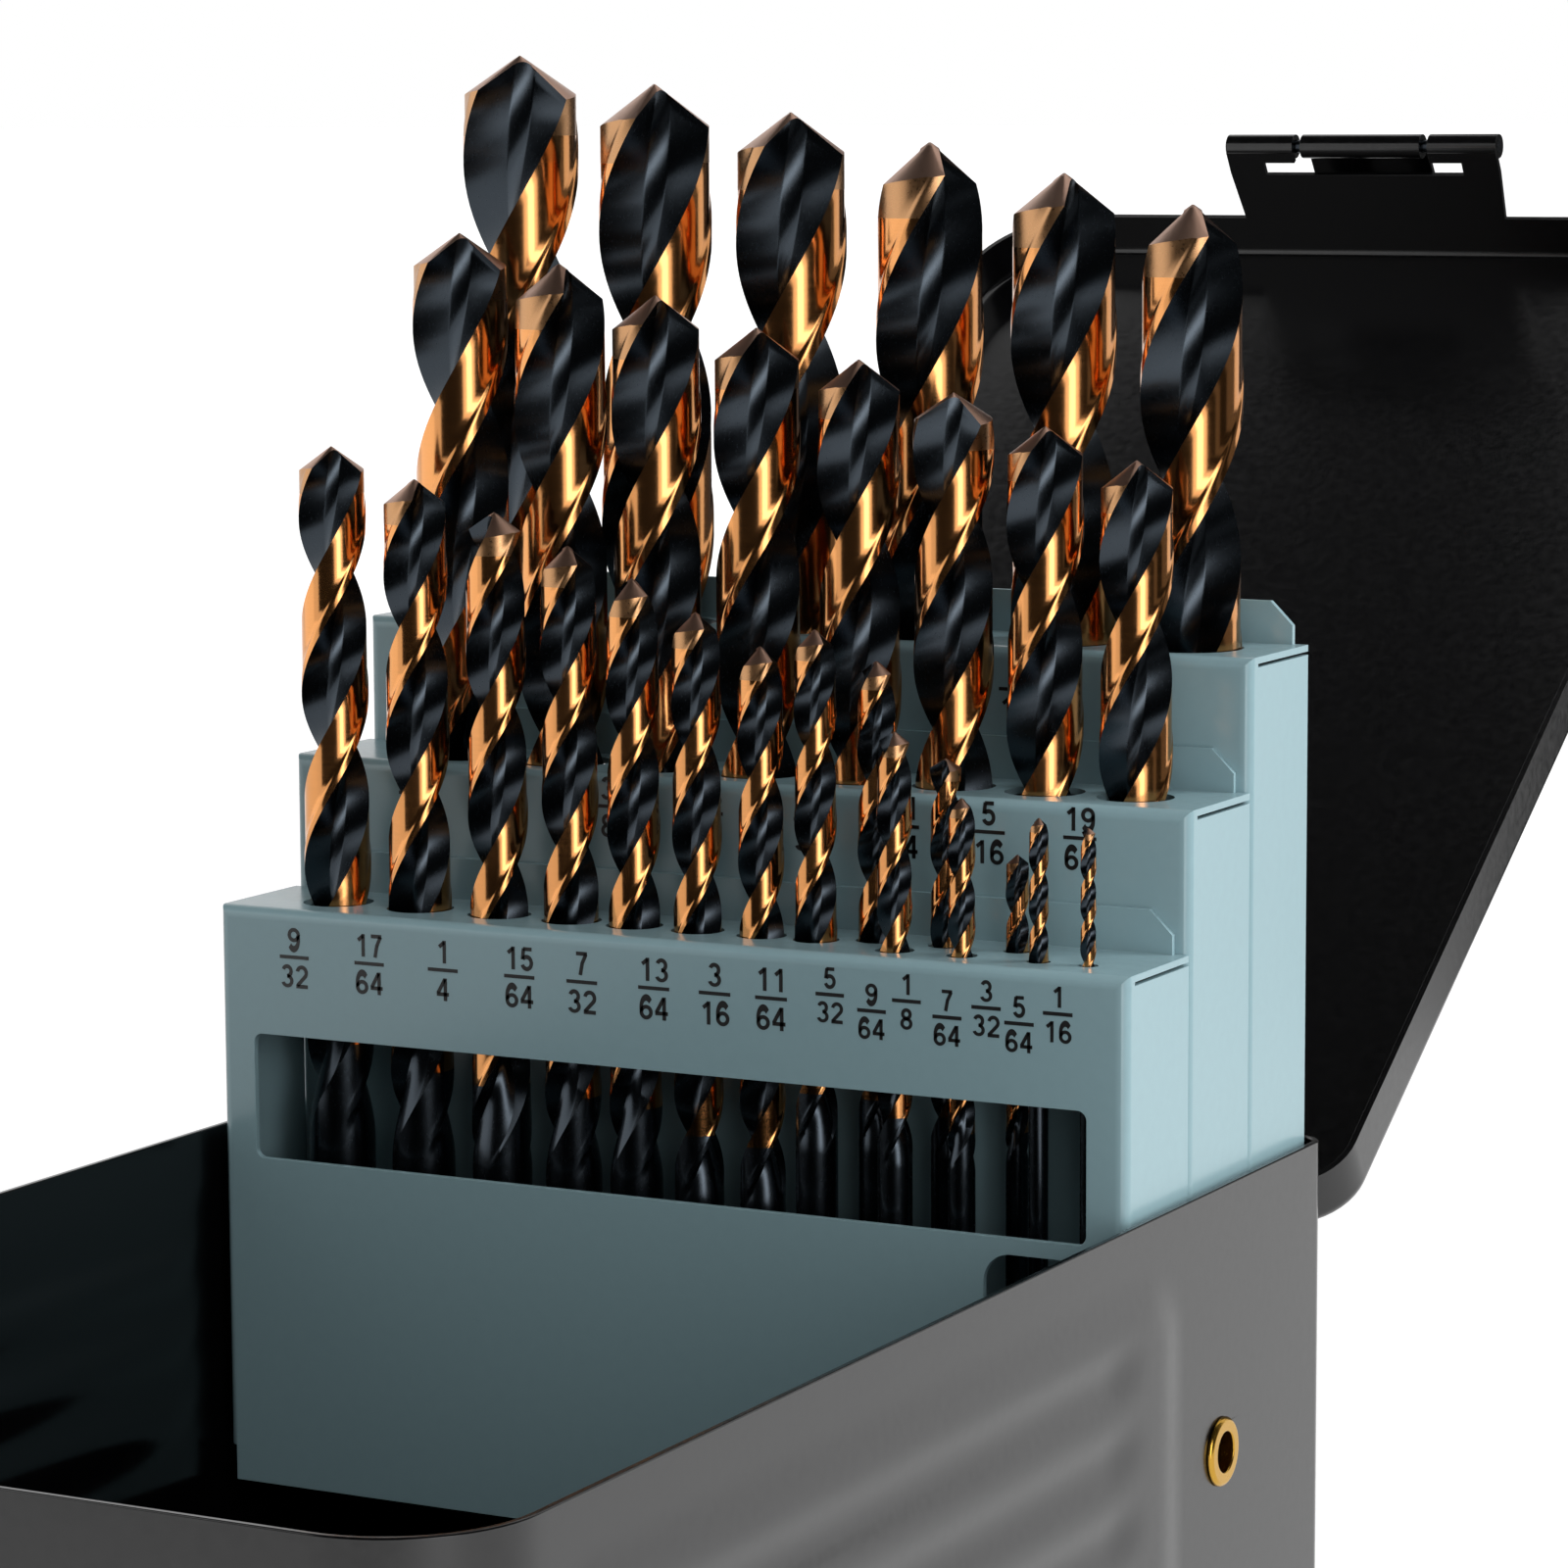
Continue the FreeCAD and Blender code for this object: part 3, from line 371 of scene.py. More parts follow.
class CaseLook(bpy.types.PropertyGroup):
    """Colours of the case and its fittings"""

    enamel_colour: colour("Enamel", "Black enamel of tray, lid and clasp", "#050506")
    brass_colour: colour("Brass", "Eyelets that the racks turn on", "#c79a3f")
    plate_colour: colour("Plated steel", "Hinge, pins and stud", "#8d8f92")


class StageLook(bpy.types.PropertyGroup):
    """Floor and lamps"""

    floor_colour: colour("Floor", "Floor under the case", "#b0b0b0")
    lamp_level: bpy.props.FloatProperty(
        name="Lamp level", description="Strength of all lamps together", default=1.0,
    )


def add_node(tree, kind, settings=None, sockets=None):
    node = tree.nodes.new(kind)
    for name, value in (settings or {}).items():
        setattr(node, name, value)
    for name, value in (sockets or {}).items():
        if isinstance(value, bpy.types.NodeSocket):
            tree.links.new(value, node.inputs[name])
        else:
            node.inputs[name].default_value = value
    return node


def new_material(name, settings):
    material = bpy.data.materials.new(name)
    material.use_nodes = True
    tree = material.node_tree
    shader = tree.nodes["Principled BSDF"]
    for socket, value in settings.items():
        shader.inputs[socket].default_value = value
    return material, tree, shader


def shade_of(rgb, share):
    return (*(min(1.0, c * share) for c in rgb), 1.0)


def roughen(tree, shader, size, stretch, low, high, height):
    """Noise of one real size drives a roughness range and a bump of one real height"""
    place = add_node(tree, "ShaderNodeTexCoord")
    turned = add_node(tree, "ShaderNodeMapping", {}, {
        "Vector": place.outputs["Object"], "Scale": stretch,
    })
    noise = add_node(tree, "ShaderNodeTexNoise", {}, {
        "Vector": turned.outputs["Vector"], "Scale": 1 / size, "Detail": GRAIN_DETAIL,
    })
    spread = add_node(tree, "ShaderNodeMapRange", {}, {
        "Value": noise.outputs["Fac"], "From Min": GRAIN_RANGE[0], "From Max": GRAIN_RANGE[1],
        "To Min": low, "To Max": high,
    })
    bump = add_node(tree, "ShaderNodeBump", {}, {
        "Height": noise.outputs["Fac"], "Strength": 1.0, "Distance": height,
    })
    tree.links.new(spread.outputs["Result"], shader.inputs["Roughness"])
    tree.links.new(bump.outputs["Normal"], shader.inputs["Normal"])
    return noise


def tint(tree, shader, noise, rgb, darker, lighter):
    """The same noise carries the colour from a darker to a lighter shade of itself"""
    mix = add_node(tree, "ShaderNodeMix", {"data_type": "RGBA"})
    first, second = (s for s in mix.inputs if s.type == "RGBA")
    result = next(s for s in mix.outputs if s.type == "RGBA")
    tree.links.new(noise.outputs["Fac"], mix.inputs["Factor"])
    first.default_value = shade_of(rgb, darker)
    second.default_value = shade_of(rgb, lighter)
    tree.links.new(result, shader.inputs["Base Color"])


def grained(name, settings, rgb, size, rough, height, shades, stretch=(1, 1, 1)):
    """Material whose one noise drives its roughness, its bump and the shade of its colour"""
    material, tree, shader = new_material(name, settings)
    noise = roughen(tree, shader, size, stretch, *rough, height)
    tint(tree, shader, noise, rgb, *shades)
    return material


def black_oxide_steel(rgb):
    # High speed steel with a black oxide skin: nearly black, soft grey streaks along the flutes
    return grained(
        "black_oxide_steel", {"Metallic": 1.0}, rgb, size=0.3 * MM, rough=(0.23, 0.28),
        height=0.0004 * MM, shades=(0.92, 1.06), stretch=(1, 1, 0.5),
    )


def gold_oxide_steel(rgb):
    # Ground lands with a gold oxide colour: a crisp mirror with fine marks round the drill
    return grained(
        "gold_oxide_steel", {"Metallic": 1.0}, rgb, size=2.4 * MM, rough=(0.13, 0.18),
        height=0.0006 * MM, shades=(0.92, 1.06), stretch=(1, 1, 14),
    )


def ground_point_steel(rgb):
    # Bare ground steel over the coat: dull copper-grey, no clear reflection
    return grained(
        "ground_point_steel", {"Metallic": 1.0}, rgb, size=0.25 * MM, rough=(0.33, 0.42),
        height=0.003 * MM, shades=(0.92, 1.08),
    )


def dulled_gold_steel(rgb):
    # Gold oxide scuffed by the grinding of the point: same hue, blurred reflections
    return grained(
        "dulled_gold_steel", {"Metallic": 1.0}, rgb, size=0.3 * MM, rough=(0.26, 0.34),
        height=0.002 * MM, shades=(0.94, 1.06),
    )


def rack_enamel(rgb):
    # Sprayed and baked enamel: half gloss, with a faint orange peel
    return grained(
        "rack_enamel_half_gloss", {"IOR": 1.5}, rgb, size=1.4 * MM, rough=(0.2, 0.26),
        height=0.005 * MM, shades=(0.97, 1.03),
    )


def printing_ink(rgb):
    # Screen printed ink: flat black with a slight gloss
    return grained(
        "screen_ink_black", {"IOR": 1.5}, rgb, size=0.3 * MM, rough=(0.4, 0.5),
        height=0.001 * MM, shades=(0.9, 1.2),
    )


def case_enamel(rgb):
    # Black baked enamel on sheet steel: deep black, glossy, with orange peel
    return grained(
        "case_enamel_black", {"IOR": 1.58}, rgb, size=1.1 * MM, rough=(0.17, 0.23),
        height=0.004 * MM, shades=(0.9, 1.1),
    )


def rolled_brass(rgb):
    # Rolled brass tube: warm gold with fine turning marks
    return grained(
        "rolled_brass", {"Metallic": 1.0}, rgb, size=0.6 * MM, rough=(0.18, 0.28),
        height=0.002 * MM, shades=(0.88, 1.08), stretch=(6, 1, 1),
    )


def zinc_plate(rgb):
    # Zinc plated steel: even grey metal, slightly cloudy
    return grained(
        "zinc_plated_steel", {"Metallic": 1.0}, rgb, size=0.8 * MM, rough=(0.25, 0.38),
        height=0.002 * MM, shades=(0.9, 1.1),
    )


def finish_mesh(bm, name, materials):
    """Object of a mesh being built: smooth, but for its sharp and open edges"""
    for face in bm.faces:
        face.smooth = True
    for edge in bm.edges:
        edge.smooth = len(edge.link_faces) == 2 and edge.calc_face_angle() < SHARP_EDGE
    mesh = bpy.data.meshes.new(name)
    bm.to_mesh(mesh)
    bm.free()
    piece = bpy.data.objects.new(name, mesh)
    for material in materials:
        mesh.materials.append(material)
    bpy.context.scene.collection.objects.link(piece)
    return piece


def smooth_step(share):
    share = min(1, max(0, share))
    return share * share * (3 - 2 * share)


def relief(y, z):
    """How far the tray's side stands out at a place on it, all in millimetres"""
    over_y = abs(y - PANEL_MIDDLE[0]) - PANEL_HALF[0] + PANEL_ROUND
    over_z = abs(z - PANEL_MIDDLE[1]) - PANEL_HALF[1] + PANEL_ROUND
    outside = math.hypot(max(over_y, 0), max(over_z, 0)) + min(max(over_y, over_z), 0)
    stand = PANEL_RISE * smooth_step(0.5 - (outside - PANEL_ROUND) / (2 * PANEL_FADE))
    reach = min(y - RIB_ENDS[0], RIB_ENDS[1] - y) / RIB_FADE
    for level in RIB_LEVELS:
        across = abs(z - level) / RIB_HALF
        if across < 1:
            stand -= RIB_DEPTH * math.cos(across * math.pi / 2) ** 2 * smooth_step(reach)
    return stand


def grid_steps(low, high, count):
    return [low + (high - low) * i / count for i in range(count + 1)]


def press_relief(bm):
    """Makes the panel and ribs of both long sides again, as soft as pressed sheet is"""
    near_wall = WALL_FACE - WALL_BAND
    geom = set()
    for face in bm.faces:
        middle = face.calc_center_median()
        if abs(face.normal.x) > SIDEWAYS and abs(middle.x) > near_wall * MM:
            geom.update((face, *face.edges, *face.verts))
    geom = list(geom)
    for values, axis in ((RELIEF_Y, 1), (RELIEF_Z, 2)):
        for step in grid_steps(*values):
            at = Vector((0, 0, 0))
            way = Vector((0, 0, 0))
            at[axis] = step * MM
            way[axis] = 1
            geom = bmesh.ops.bisect_plane(
                bm, geom=geom, dist=CUT_SLACK, plane_co=at, plane_no=way,
            )["geom"]
    gone = []
    for face in bm.faces:
        middle = face.calc_center_median() / MM
        along = RELIEF_Y[0] < middle.y < RELIEF_Y[1]
        up = RELIEF_Z[0] < middle.z < RELIEF_Z[1]
        if abs(middle.x) > near_wall and along and up:
            gone.append(face)
    bmesh.ops.delete(bm, geom=gone, context="FACES")
    for side in (-1, 1):
        for skin in (0, SHEET):
            made = bmesh.ops.create_grid(
                bm, x_segments=RELIEF_Y[2], y_segments=RELIEF_Z[2], size=1,
            )
            for vert in made["verts"]:
                y = RELIEF_Y[0] + (vert.co.x + 1) / 2 * (RELIEF_Y[1] - RELIEF_Y[0])
                z = RELIEF_Z[0] + (vert.co.y + 1) / 2 * (RELIEF_Z[1] - RELIEF_Z[0])
                vert.co = Vector((side * (WALL_FACE - skin + relief(y, z)), y, z)) * MM
    bmesh.ops.remove_doubles(bm, verts=bm.verts, dist=RELIEF_WELD)
    bmesh.ops.recalc_face_normals(bm, faces=bm.faces)


def ease_edges(name, material, width, segments=2):
    """Copy of a sheet metal node with its facets joined and its cut edges eased"""
    bm = bmesh.new()
    bm.from_mesh(frame["nodes"][name].data)
    bmesh.ops.remove_doubles(bm, verts=bm.verts, dist=WELD)
    bmesh.ops.dissolve_limit(
        bm, angle_limit=SAME_PLANE, verts=bm.verts, edges=bm.edges,
        use_dissolve_boundaries=False, delimit=set(),
    )
    if name == "base_tray":
        press_relief(bm)
    piece = finish_mesh(bm, name + "_sheet", [material])
    bevel = piece.modifiers.new("eased_edges", "BEVEL")
    bevel.width = width
    bevel.segments = segments
    bevel.limit_method = "ANGLE"
    # The relief's small cells would hold the tray's whole bevel down to their own size
    bevel.use_clamp_overlap = name != "base_tray"
    bevel.angle_limit = CUT_EDGE
    weighted = piece.modifiers.new("flat_faces_first", "WEIGHTED_NORMAL")
    weighted.keep_sharp = True
    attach(piece, frame["nodes"][name]["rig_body"])
    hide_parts(name)


def dress_nodes(names, material):
    for name in names:
        node = frame["nodes"][name]
        node.data.materials.clear()
        node.data.materials.append(material)


def half_profile(look):
    """Angle and radius share of half the section, from the land's heel to the next heel"""
    low = 1 - look.clearance
    land = look.land_angle
    body = land - look.margin_angle - RAMP_ANGLE
    points = [(body * i / BODY_STEPS, low) for i in range(BODY_STEPS)]
    for i in range(RAMP_STEPS):
        share = i / RAMP_STEPS
        points.append((body + RAMP_ANGLE * share, low + look.clearance * smooth_step(share)))
    for i in range(MARGIN_STEPS + 1):
        points.append((land - look.margin_angle * (1 - i / MARGIN_STEPS), 1.0))
    # The flute is an arc of a circle, kept under the land's height where it meets the next heel
    gap = math.pi - land
    half = gap / 2
    reach = math.cos(half)
    rise = math.sin(half)
    away = (1 - look.web ** 2) / (2 * (reach - look.web))
    bow = away - look.web
    for i in range(1, FLUTE_STEPS):
        share = (i / FLUTE_STEPS) ** FLUTE_SKEW
        at = share * gap - half
        radius = away * math.cos(at) - math.sqrt(max(0, bow ** 2 - (away * math.sin(at)) ** 2))
        if i / FLUTE_STEPS > 0.5:
            radius = min(radius, low)
        points.append((land + share * gap, radius))
    return points


def fall_behind(angle, land):
    """0 at the cutting lip, 1 at the heel, and back to 0 across the flute"""
    at = angle % math.pi
    if at <= land:
        return 1 - at / land
    return (at - land) / (math.pi - land)


def grow_ring(bm, edges):
    """Extrudes a ring of edges, and gives the new ring's points and edges"""
    grown = bmesh.ops.extrude_edge_only(bm, edges=edges)["geom"]
    verts = [g for g in grown if isinstance(g, bmesh.types.BMVert)]
    fresh = set(verts)
    edges = [
        g for g in grown
        if isinstance(g, bmesh.types.BMEdge) and all(v in fresh for v in g.verts)
    ]
    return verts, edges


# One drill in metres and radians: heights of the flutes' lower end and of the point's rim, half
# the cone's width over its height, turn over height, and where the section starts at the rim
DrillForm = namedtuple("DrillForm", "radius length start shoulder cone twist first")


def twist_body(bm, form, look):
    """Twisted length from the shank to the rim of the point, whose edges it gives"""
    half = half_profile(look)
    profile = half + [(angle + math.pi, share) for angle, share in half]
    share_layer = bm.verts.layers.float.new("share")
    angle_layer = bm.verts.layers.float.new("angle")
    ring = bmesh.ops.create_circle(bm, segments=len(profile), radius=form.radius)["verts"]
    for vert, (angle, share) in zip(ring, profile):
        vert[share_layer] = share
        vert[angle_layer] = angle
        at = angle + form.first + form.twist * (form.start - form.shoulder)
        vert.co = Vector((math.cos(at), math.sin(at), 0)) * form.radius * share
        vert.co.z = form.start
    fluted = form.length - form.start
    turned = fluted * form.twist
    steps = max(FEWEST_TWISTS, math.ceil(turned / TWIST_STEP))
    spun = bmesh.ops.spin(
        bm, geom=ring + list(bm.edges), cent=(0, 0, 0), axis=(0, 0, 1),
        dvec=(0, 0, fluted / steps), angle=turned, steps=steps, use_duplicate=False,
    )
    fold = form.shoulder - POINT_REACH * form.radius
    for vert in bm.verts:
        share = vert[share_layer]
        z = vert.co.z
        fullness = smooth_step((z - form.start) / (RUNOUT * form.radius))
        out = form.radius * (1 - (1 - share) * fullness)
        behind = fall_behind(vert[angle_layer], look.land_angle) * look.relief
        if z > fold:
            end = form.length - out / form.cone - behind * form.radius * share
            z = fold + (z - fold) / (form.length - fold) * (end - fold)
        at = vert[angle_layer] + form.first + form.twist * (z - form.shoulder)
        vert.co = Vector((out * math.cos(at), out * math.sin(at), z))
    for face in bm.faces:
        z = face.calc_center_median().z
        widest = max(v[angle_layer] % math.pi for v in face.verts)
        if widest <= look.land_angle + ANGLE_SLACK and z > form.start + GOLD_START * form.radius:
            scuffed = z > form.shoulder - COLLAR * form.radius
            face.material_index = DULLED if scuffed else LAND
    return [g for g in spun["geom_last"] if isinstance(g, bmesh.types.BMEdge)]


def grind_point(bm, rim, form, look):
    """Facets of the point, from the rim inwards to the chisel edge"""
    angle_layer = bm.verts.layers.float["angle"]
    walls = set(bm.faces)
    previous = 1.0
    for share in POINT_RINGS:
        verts, rim = grow_ring(bm, rim)
        for vert in verts:
            flat = vert.co.xy * share / previous
            behind = fall_behind(vert[angle_layer], look.land_angle) * look.relief
            vert.co.x, vert.co.y = flat
            vert.co.z = form.length - flat.length / form.cone - behind * flat.length
        previous = share
    bmesh.ops.contextual_create(bm, geom=rim)
    for face in bm.faces:
        if face not in walls:
            face.material_index = POINT


def add_shank(bm, form):
    """Round shank, down to a small chamfer at its foot"""
    foot = [
        e for e in bm.edges
        if e.is_boundary and max(v.co.z for v in e.verts) < form.start + HEIGHT_SLACK
    ]
    for rise, share in FOOT_RINGS:
        verts, foot = grow_ring(bm, foot)
        for vert in verts:
            flat = vert.co.xy.normalized() * form.radius * share
            vert.co = Vector((flat.x, flat.y, rise * form.radius))
    bmesh.ops.contextual_create(bm, geom=foot)
    for face in bm.faces:
        if face.calc_center_median().z < form.start:
            face.material_index = FLUTE


def make_drill(tag, look, materials):
    low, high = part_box("drill_" + tag)
    flute, turn = DRILLS[tag]
    radius = (high.x - low.x) / 2
    length = high.z - low.z
    cone = math.tan(look.point_angle / 2)
    form = DrillForm(
        radius=radius, length=length, start=length - flute * MM, shoulder=length - radius / cone,
        cone=cone, twist=math.tan(look.helix_angle) / radius,
        first=math.radians(turn) - (look.land_angle + math.pi) / 2,
    )
    bm = bmesh.new()
    rim = twist_body(bm, form, look)
    grind_point(bm, rim, form, look)
    add_shank(bm, form)
    bmesh.ops.recalc_face_normals(bm, faces=bm.faces)
    middle = Vector(((low.x + high.x) / 2, (low.y + high.y) / 2, low.z))
    bmesh.ops.translate(bm, verts=bm.verts, vec=middle)
    piece = finish_mesh(bm, "bit_" + tag, materials)
    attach(piece, "drill_" + tag)
    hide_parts("drill_" + tag)


class BITCASE_OT_drills(bpy.types.Operator):
    """Makes the twenty-nine twist drills in place of their plain solids"""

    bl_idname = "bitcase.drills"
    bl_label = "Make the twist drills"

    def execute(self, context):
        look = context.scene.bitcase_drills
        materials = [
            black_oxide_steel(look.flute_colour),
            gold_oxide_steel(look.land_colour),
            ground_point_steel(look.point_colour),
            dulled_gold_steel(look.collar_colour),
        ]
        for tag in DRILLS:
            make_drill(tag, look, materials)
        return {"FINISHED"}


def add_stroke(bm, stroke, width):
    """Lays one flat stroke of a figure in the XZ plane"""
    kind, first, *rest = stroke
    if kind == "line":
        begin = Vector((first[0], 0, first[1]))
        run = Vector((rest[0][0], 0, rest[0][1])) - begin
        across = Vector((run.z, 0, -run.x)).normalized() * width / 2
        pair = [bm.verts.new(begin - across), bm.verts.new(begin + across)]
        edge = bm.edges.new(pair)
        grown = bmesh.ops.extrude_edge_only(bm, edges=[edge])["geom"]
        verts = [g for g in grown if isinstance(g, bmesh.types.BMVert)]
        bmesh.ops.translate(bm, verts=verts, vec=run)
        return
    wide, high, start, stop = rest
    half = width / 2 / wide
    pair = [bm.verts.new((1 - half, 0, 0)), bm.verts.new((1 + half, 0, 0))]
    edge = bm.edges.new(pair)
    bmesh.ops.rotate(bm, verts=pair, cent=(0, 0, 0),
                     matrix=Matrix.Rotation(math.radians(-start), 3, "Y"))
    before = set(bm.verts)
    steps = max(FEWEST_ARC_STEPS, math.ceil(abs(stop - start) / ARC_STEP))
    bmesh.ops.spin(bm, geom=pair + [edge], cent=(0, 0, 0), axis=(0, -1, 0),
                   angle=math.radians(stop - start), steps=steps, use_duplicate=False)
    verts = [v for v in bm.verts if v not in before] + pair
    bmesh.ops.scale(bm, verts=verts, vec=(wide, 1, high))
    bmesh.ops.translate(bm, verts=verts, vec=(first[0], 0, first[1]))


def move_into(whole, part, change):
    """Adds one mesh being built to another, moved or scaled, and frees it"""
    mesh = bpy.data.meshes.new("part")
    part.to_mesh(mesh)
    part.free()
    mesh.transform(change)
    whole.from_mesh(mesh)
    bpy.data.meshes.remove(mesh)


def face_front(bm):
    """Turns every face that looks at the rack"""
    turned = [f for f in bm.faces if f.normal.y > 0]
    bmesh.ops.reverse_faces(bm, faces=turned)


def make_number(words):
    """A number one unit high, its middle at the origin, facing the front"""
    whole = bmesh.new()
    for place, figure in enumerate(words):
        bm = bmesh.new()
        for stroke in FIGURES[figure]:
            add_stroke(bm, stroke, FIGURE_STROKE)
        shift = (place - (len(words) - 1) / 2) * FIGURE_ADVANCE
        move_into(whole, bm, Matrix.Translation((shift, 0, -0.5)))
    bmesh.ops.remove_doubles(whole, verts=whole.verts, dist=FIGURE_WELD)
    bmesh.ops.recalc_face_normals(whole, faces=whole.faces)
    face_front(whole)
    return whole


def add_label(bm, tag, at, share, look):
    """One printed fraction, its bar's middle at a place on the rack"""
    above, below = tag.split("_")
    size = look.figure_height * share
    for words, rise in ((above, ABOVE_BAR), (below, BELOW_BAR)):
        place = Matrix.Translation(at + Vector((0, 0, rise * size)))
        move_into(bm, make_number(words), place @ Matrix.Scale(size, 4))
    half = look.bar_length / 2 * share
    bar = bmesh.new()
    add_stroke(bar, ("line", (at.x - half, at.z), (at.x + half, at.z)), look.bar_thickness)
    face_front(bar)
    move_into(bm, bar, Matrix.Translation((0, at.y, 0)))


class BITCASE_OT_labels(bpy.types.Operator):
    """Prints the size of each drill on the front of its rack"""

    bl_idname = "bitcase.labels"
    bl_label = "Print the sizes"

    def execute(self, context):
        look = context.scene.bitcase_racks
        ink = printing_ink(look.ink_colour)
        meshes = {}
        for row, (below, share, tags) in LABEL_ROWS.items():
            rack = row.split("_")[0]
            if rack not in meshes:
                meshes[rack] = bmesh.new()
            bm = meshes[rack]
            low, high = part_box(rack + "_rack")
            top = high.z - LIP_RISE
            for tag, beside in tags.items():
                left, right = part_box("drill_" + tag)
                across = (left.x + right.x) / 2 + beside * MM
                at = Vector((across, low.y - INK_THICK, top - below * MM))
                add_label(bm, tag, at, share, look)
        for rack, bm in meshes.items():
            piece = finish_mesh(bm, rack + "_sizes", [ink])
            layer = piece.modifiers.new("ink_layer", "SOLIDIFY")
            layer.thickness = INK_THICK
            layer.offset = -1
            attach(piece, "racks")
        return {"FINISHED"}


class BITCASE_OT_racks(bpy.types.Operator):
    """Gives the racks and their rests their enamel"""

    bl_idname = "bitcase.racks"
    bl_label = "Enamel the racks"

    def execute(self, context):
        enamel = rack_enamel(context.scene.bitcase_racks.enamel_colour)
        for row in ("front", "middle", "back"):
            ease_edges(row + "_rack", enamel, RACK_EASE)
            ease_edges(row + "_rest", enamel, REST_EASE)
        return {"FINISHED"}


class BITCASE_OT_case(bpy.types.Operator):
    """Gives the tray, lid and fittings their finishes"""

    bl_idname = "bitcase.case"
    bl_label = "Finish the case"

    def execute(self, context):
        look = context.scene.bitcase_case
        enamel = case_enamel(look.enamel_colour)
        brass = rolled_brass(look.brass_colour)
        plate = zinc_plate(look.plate_colour)
        for name in ("base_tray", "lid_shell"):
            ease_edges(name, enamel, SHELL_EASE)
        ease_edges("latch_clasp", enamel, CLASP_EASE)
        for name in ("eyelet_left", "eyelet_right"):
            ease_edges(name, brass, EYELET_EASE, segments=4)
        for name in ("hinge_leaf_base", "hinge_leaf_lid"):
            ease_edges(name, plate, LEAF_EASE)
        dress_nodes(("latch_stud", "hinge_pin"), plate)
        dress_nodes(["latch_pin"], black_oxide_steel(context.scene.bitcase_drills.flute_colour))
        return {"FINISHED"}


def around(turn, rise, distance):
    """Place round the racks: turn from the camera's side towards the right, in degrees"""
    turn = math.radians(turn + CAMERA_TURN)
    rise = math.radians(rise)
    flat = distance * math.cos(rise)
    way = Vector((flat * math.sin(turn), -flat * math.cos(turn), distance * math.sin(rise)))
    return Vector(STAGE_AIM) + way


def add_lamp(name, place, size, power, reflected):
    lamp = bpy.data.lights.new(name, "AREA")
    lamp.shape = "RECTANGLE"
    lamp.size, lamp.size_y = size
    lamp.energy = power
    holder = bpy.data.objects.new(name, lamp)
    holder.visible_camera = False
    holder.visible_glossy = reflected
    holder.location = place
    holder.rotation_euler = (Vector(STAGE_AIM) - place).to_track_quat("-Z", "Y").to_euler()
    bpy.context.scene.collection.objects.link(holder)


def seen_directly(tree):
    """1 for the camera's own rays and for those by way of a reflection or glass, 0 for others"""
    path = add_node(tree, "ShaderNodeLightPath")
    seen = add_node(tree, "ShaderNodeMath", {"operation": "ADD", "use_clamp": True})
    tree.links.new(path.outputs["Is Camera Ray"], seen.inputs[0])
    tree.links.new(path.outputs["Is Glossy Ray"], seen.inputs[1])
    more = add_node(tree, "ShaderNodeMath", {"operation": "ADD", "use_clamp": True})
    tree.links.new(seen.outputs[0], more.inputs[0])
    tree.links.new(path.outputs["Is Transmission Ray"], more.inputs[1])
    return more.outputs[0]


def make_floor(look):
    # White backdrop paper: its own glow makes it white to the camera and in reflections only
    bm = bmesh.new()
    bmesh.ops.create_grid(bm, x_segments=1, y_segments=1, size=FLOOR_HALF)
    material, tree, shader = new_material("seamless_paper", {"Roughness": 0.9, "IOR": 1.3})
    shader.inputs["Base Color"].default_value = (*look.floor_colour, 1)
    shader.inputs["Emission Color"].default_value = (1, 1, 1, 1)
    seen = seen_directly(tree)
    place = add_node(tree, "ShaderNodeTexCoord")
    away = add_node(tree, "ShaderNodeVectorMath", {"operation": "LENGTH"})
    tree.links.new(place.outputs["Object"], away.inputs[0])
    glow = add_node(tree, "ShaderNodeMapRange", {"interpolation_type": "SMOOTHSTEP"}, {
        "Value": away.outputs["Value"], "From Min": GLOW_NEAR[0], "From Max": GLOW_FAR[0],
        "To Min": GLOW_NEAR[1], "To Max": GLOW_FAR[1],
    })
    level = add_node(tree, "ShaderNodeMath", {"operation": "MULTIPLY"})
    tree.links.new(seen, level.inputs[0])
    tree.links.new(glow.outputs["Result"], level.inputs[1])
    tree.links.new(level.outputs[0], shader.inputs["Emission Strength"])
    floor = finish_mesh(bm, "floor", [material])


def tent_cloth(name, level):
    # Felt that takes the light away: only its share of grey shows in the polished lands
    material, tree, shader = new_material(name, {"Roughness": 1.0, "Emission Strength": level})
    shader.inputs["Base Color"].default_value = (0, 0, 0, 1)
    shader.inputs["Emission Color"].default_value = (1, 1, 1, 1)
    return material


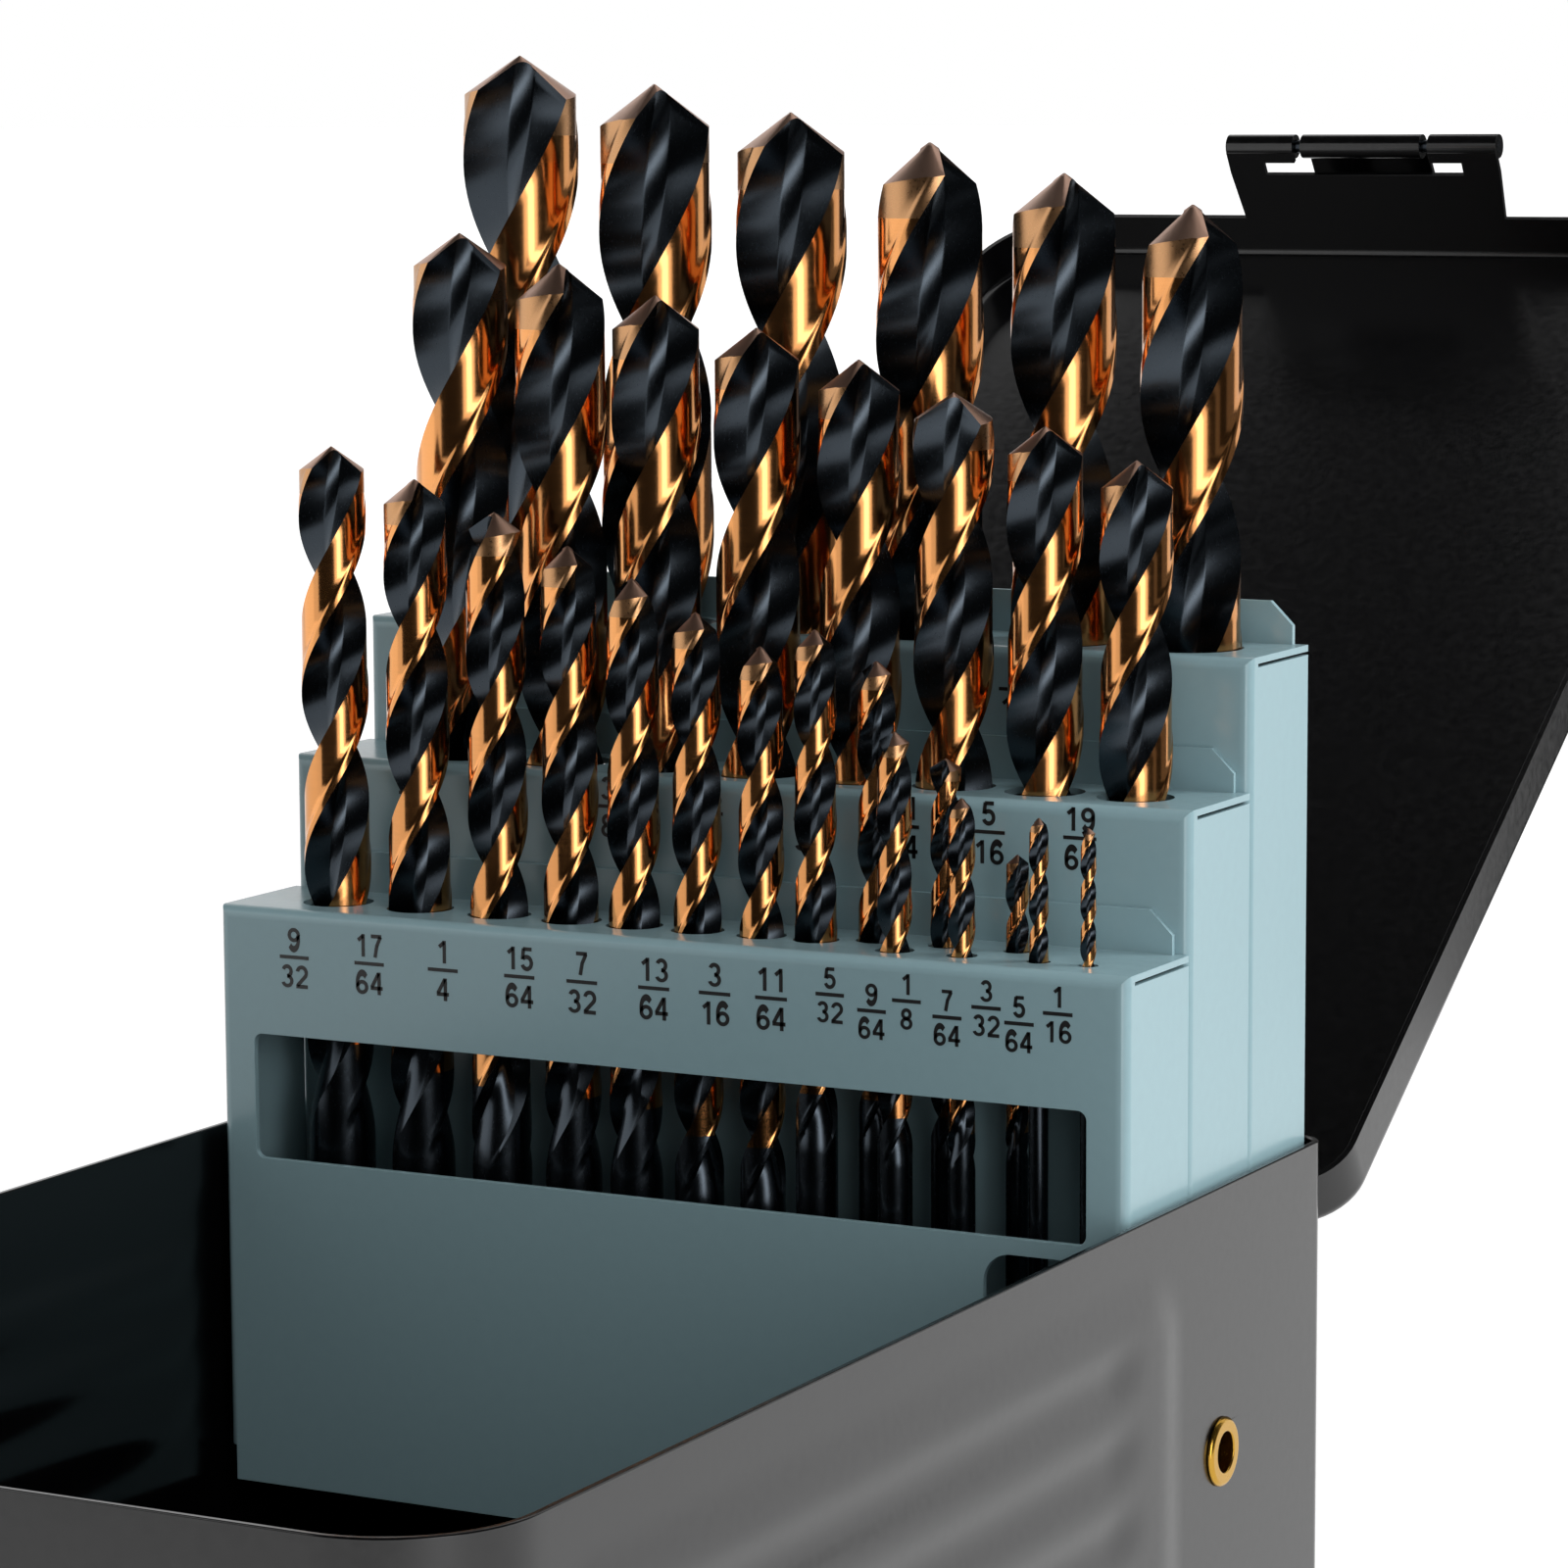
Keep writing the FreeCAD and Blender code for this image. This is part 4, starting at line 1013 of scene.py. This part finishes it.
def make_tent():
    """Dark tent round the camera's side, that only reflections see"""
    bm = bmesh.new()
    across, up = TENT_FACETS
    bmesh.ops.create_uvsphere(bm, u_segments=across, v_segments=up, radius=TENT_RADIUS)
    foot = TENT_CLEAR - STAGE_AIM[2]
    gone = []
    for face in bm.faces:
        way = face.calc_center_median()
        turn = math.degrees(math.atan2(way.x, -way.y)) - CAMERA_TURN
        turn = (turn + 180) % 360 - 180
        rise = math.degrees(math.asin(way.z / TENT_RADIUS))
        walled = any(low < turn < high for low, high in TENT_WALLS)
        if rise < TENT_FOOT or (rise < TENT_CAP and not walled):
            gone.append(face)
        elif rise >= TENT_CAP and CAP_OPEN[0] < turn < CAP_OPEN[1]:
            gone.append(face)
        elif rise < TENT_CAP and any(low < turn < high for low, high in TENT_GREY):
            face.material_index = 1
    bmesh.ops.delete(bm, geom=gone, context="FACES")
    for vert in bm.verts:
        vert.co.z = max(vert.co.z, foot)
    bmesh.ops.reverse_faces(bm, faces=bm.faces)
    bmesh.ops.translate(bm, verts=bm.verts, vec=Vector(STAGE_AIM))
    cloths = [
        tent_cloth("tent_cloth_dark", DARK_CLOTH), tent_cloth("tent_cloth_grey", GREY_CLOTH),
    ]
    tent = finish_mesh(bm, "tent", cloths)
    tent.visible_camera = False
    tent.visible_diffuse = False
    tent.visible_shadow = False
    tent.visible_transmission = False


def make_world():
    """Backdrop: white where it is seen, and dim where it lights the object"""
    world = bpy.data.worlds.new("studio")
    bpy.context.scene.world = world
    world.use_nodes = True
    tree = world.node_tree
    tree.nodes.clear()
    mix = add_node(tree, "ShaderNodeMixShader", {}, {"Fac": seen_directly(tree)})
    for socket, strength in ((1, WORLD_LIGHT), (2, WORLD_SEEN)):
        white = add_node(tree, "ShaderNodeBackground", {}, {
            "Color": (1, 1, 1, 1), "Strength": strength,
        })
        tree.links.new(white.outputs[0], mix.inputs[socket])
    output = add_node(tree, "ShaderNodeOutputWorld")
    tree.links.new(mix.outputs[0], output.inputs["Surface"])


def make_camera():
    """Camera of the photograph"""
    turn, dip, roll = (math.radians(v) for v in (CAMERA_TURN, CAMERA_DIP, CAMERA_ROLL))
    camera = bpy.data.cameras.new("camera")
    camera.sensor_width = CAMERA_SENSOR
    camera.lens = CAMERA_LENS
    camera.clip_start, camera.clip_end = CAMERA_SIGHT
    ahead = Vector((
        -math.sin(turn) * math.cos(dip), math.cos(turn) * math.cos(dip), -math.sin(dip),
    ))
    side = ahead.cross(Vector((0, 0, 1))).normalized()
    up = side.cross(ahead)
    right = side * math.cos(roll) + up * math.sin(roll)
    over = up * math.cos(roll) - side * math.sin(roll)
    axes = Matrix((right, over, -ahead)).transposed().to_4x4()
    holder = bpy.data.objects.new("camera", camera)
    holder.matrix_world = Matrix.Translation(Vector(CAMERA_PLACE)) @ axes
    bpy.context.scene.collection.objects.link(holder)
    bpy.context.scene.camera = holder


class BITCASE_OT_stage(bpy.types.Operator):
    """Makes the floor, the lamps, the world and the camera"""

    bl_idname = "bitcase.stage"
    bl_label = "Set the stage"

    def execute(self, context):
        look = context.scene.bitcase_stage
        make_floor(look)
        make_tent()
        make_world()
        for name, place, size, power, reflected in LAMPS:
            add_lamp(name, around(*place), size, power * look.lamp_level, reflected)
        make_camera()
        context.scene.view_settings.view_transform = "Standard"
        return {"FINISHED"}


class BITCASE_PT_panel(bpy.types.Panel):
    """Lists the steps that dress the case"""

    bl_idname = "BITCASE_PT_panel"
    bl_label = "Drill bit case"
    bl_space_type = "VIEW_3D"
    bl_region_type = "UI"
    bl_category = "Bit case"

    def draw(self, context):
        for group in GROUPS:
            look = getattr(context.scene, group)
            box = self.layout.box()
            for name in look.__annotations__:
                box.prop(look, name)
        for operator in OPERATORS:
            self.layout.operator(operator.bl_idname)


GROUPS = {
    "bitcase_drills": DrillLook,
    "bitcase_racks": RackLook,
    "bitcase_case": CaseLook,
    "bitcase_stage": StageLook,
}
OPERATORS = (
    BITCASE_OT_drills, BITCASE_OT_labels, BITCASE_OT_racks, BITCASE_OT_case, BITCASE_OT_stage,
)


def register():
    for name, group in GROUPS.items():
        bpy.utils.register_class(group)
        setattr(bpy.types.Scene, name, bpy.props.PointerProperty(type=group))
    for operator in OPERATORS:
        bpy.utils.register_class(operator)
    bpy.utils.register_class(BITCASE_PT_panel)


def unregister():
    bpy.utils.unregister_class(BITCASE_PT_panel)
    for operator in reversed(OPERATORS):
        bpy.utils.unregister_class(operator)
    for name, group in reversed(list(GROUPS.items())):
        delattr(bpy.types.Scene, name)
        bpy.utils.unregister_class(group)


def main():
    register()
    bpy.ops.bitcase.drills()
    bpy.ops.bitcase.labels()
    bpy.ops.bitcase.racks()
    bpy.ops.bitcase.case()
    bpy.ops.bitcase.stage()


if __name__ == "__main__":
    main()
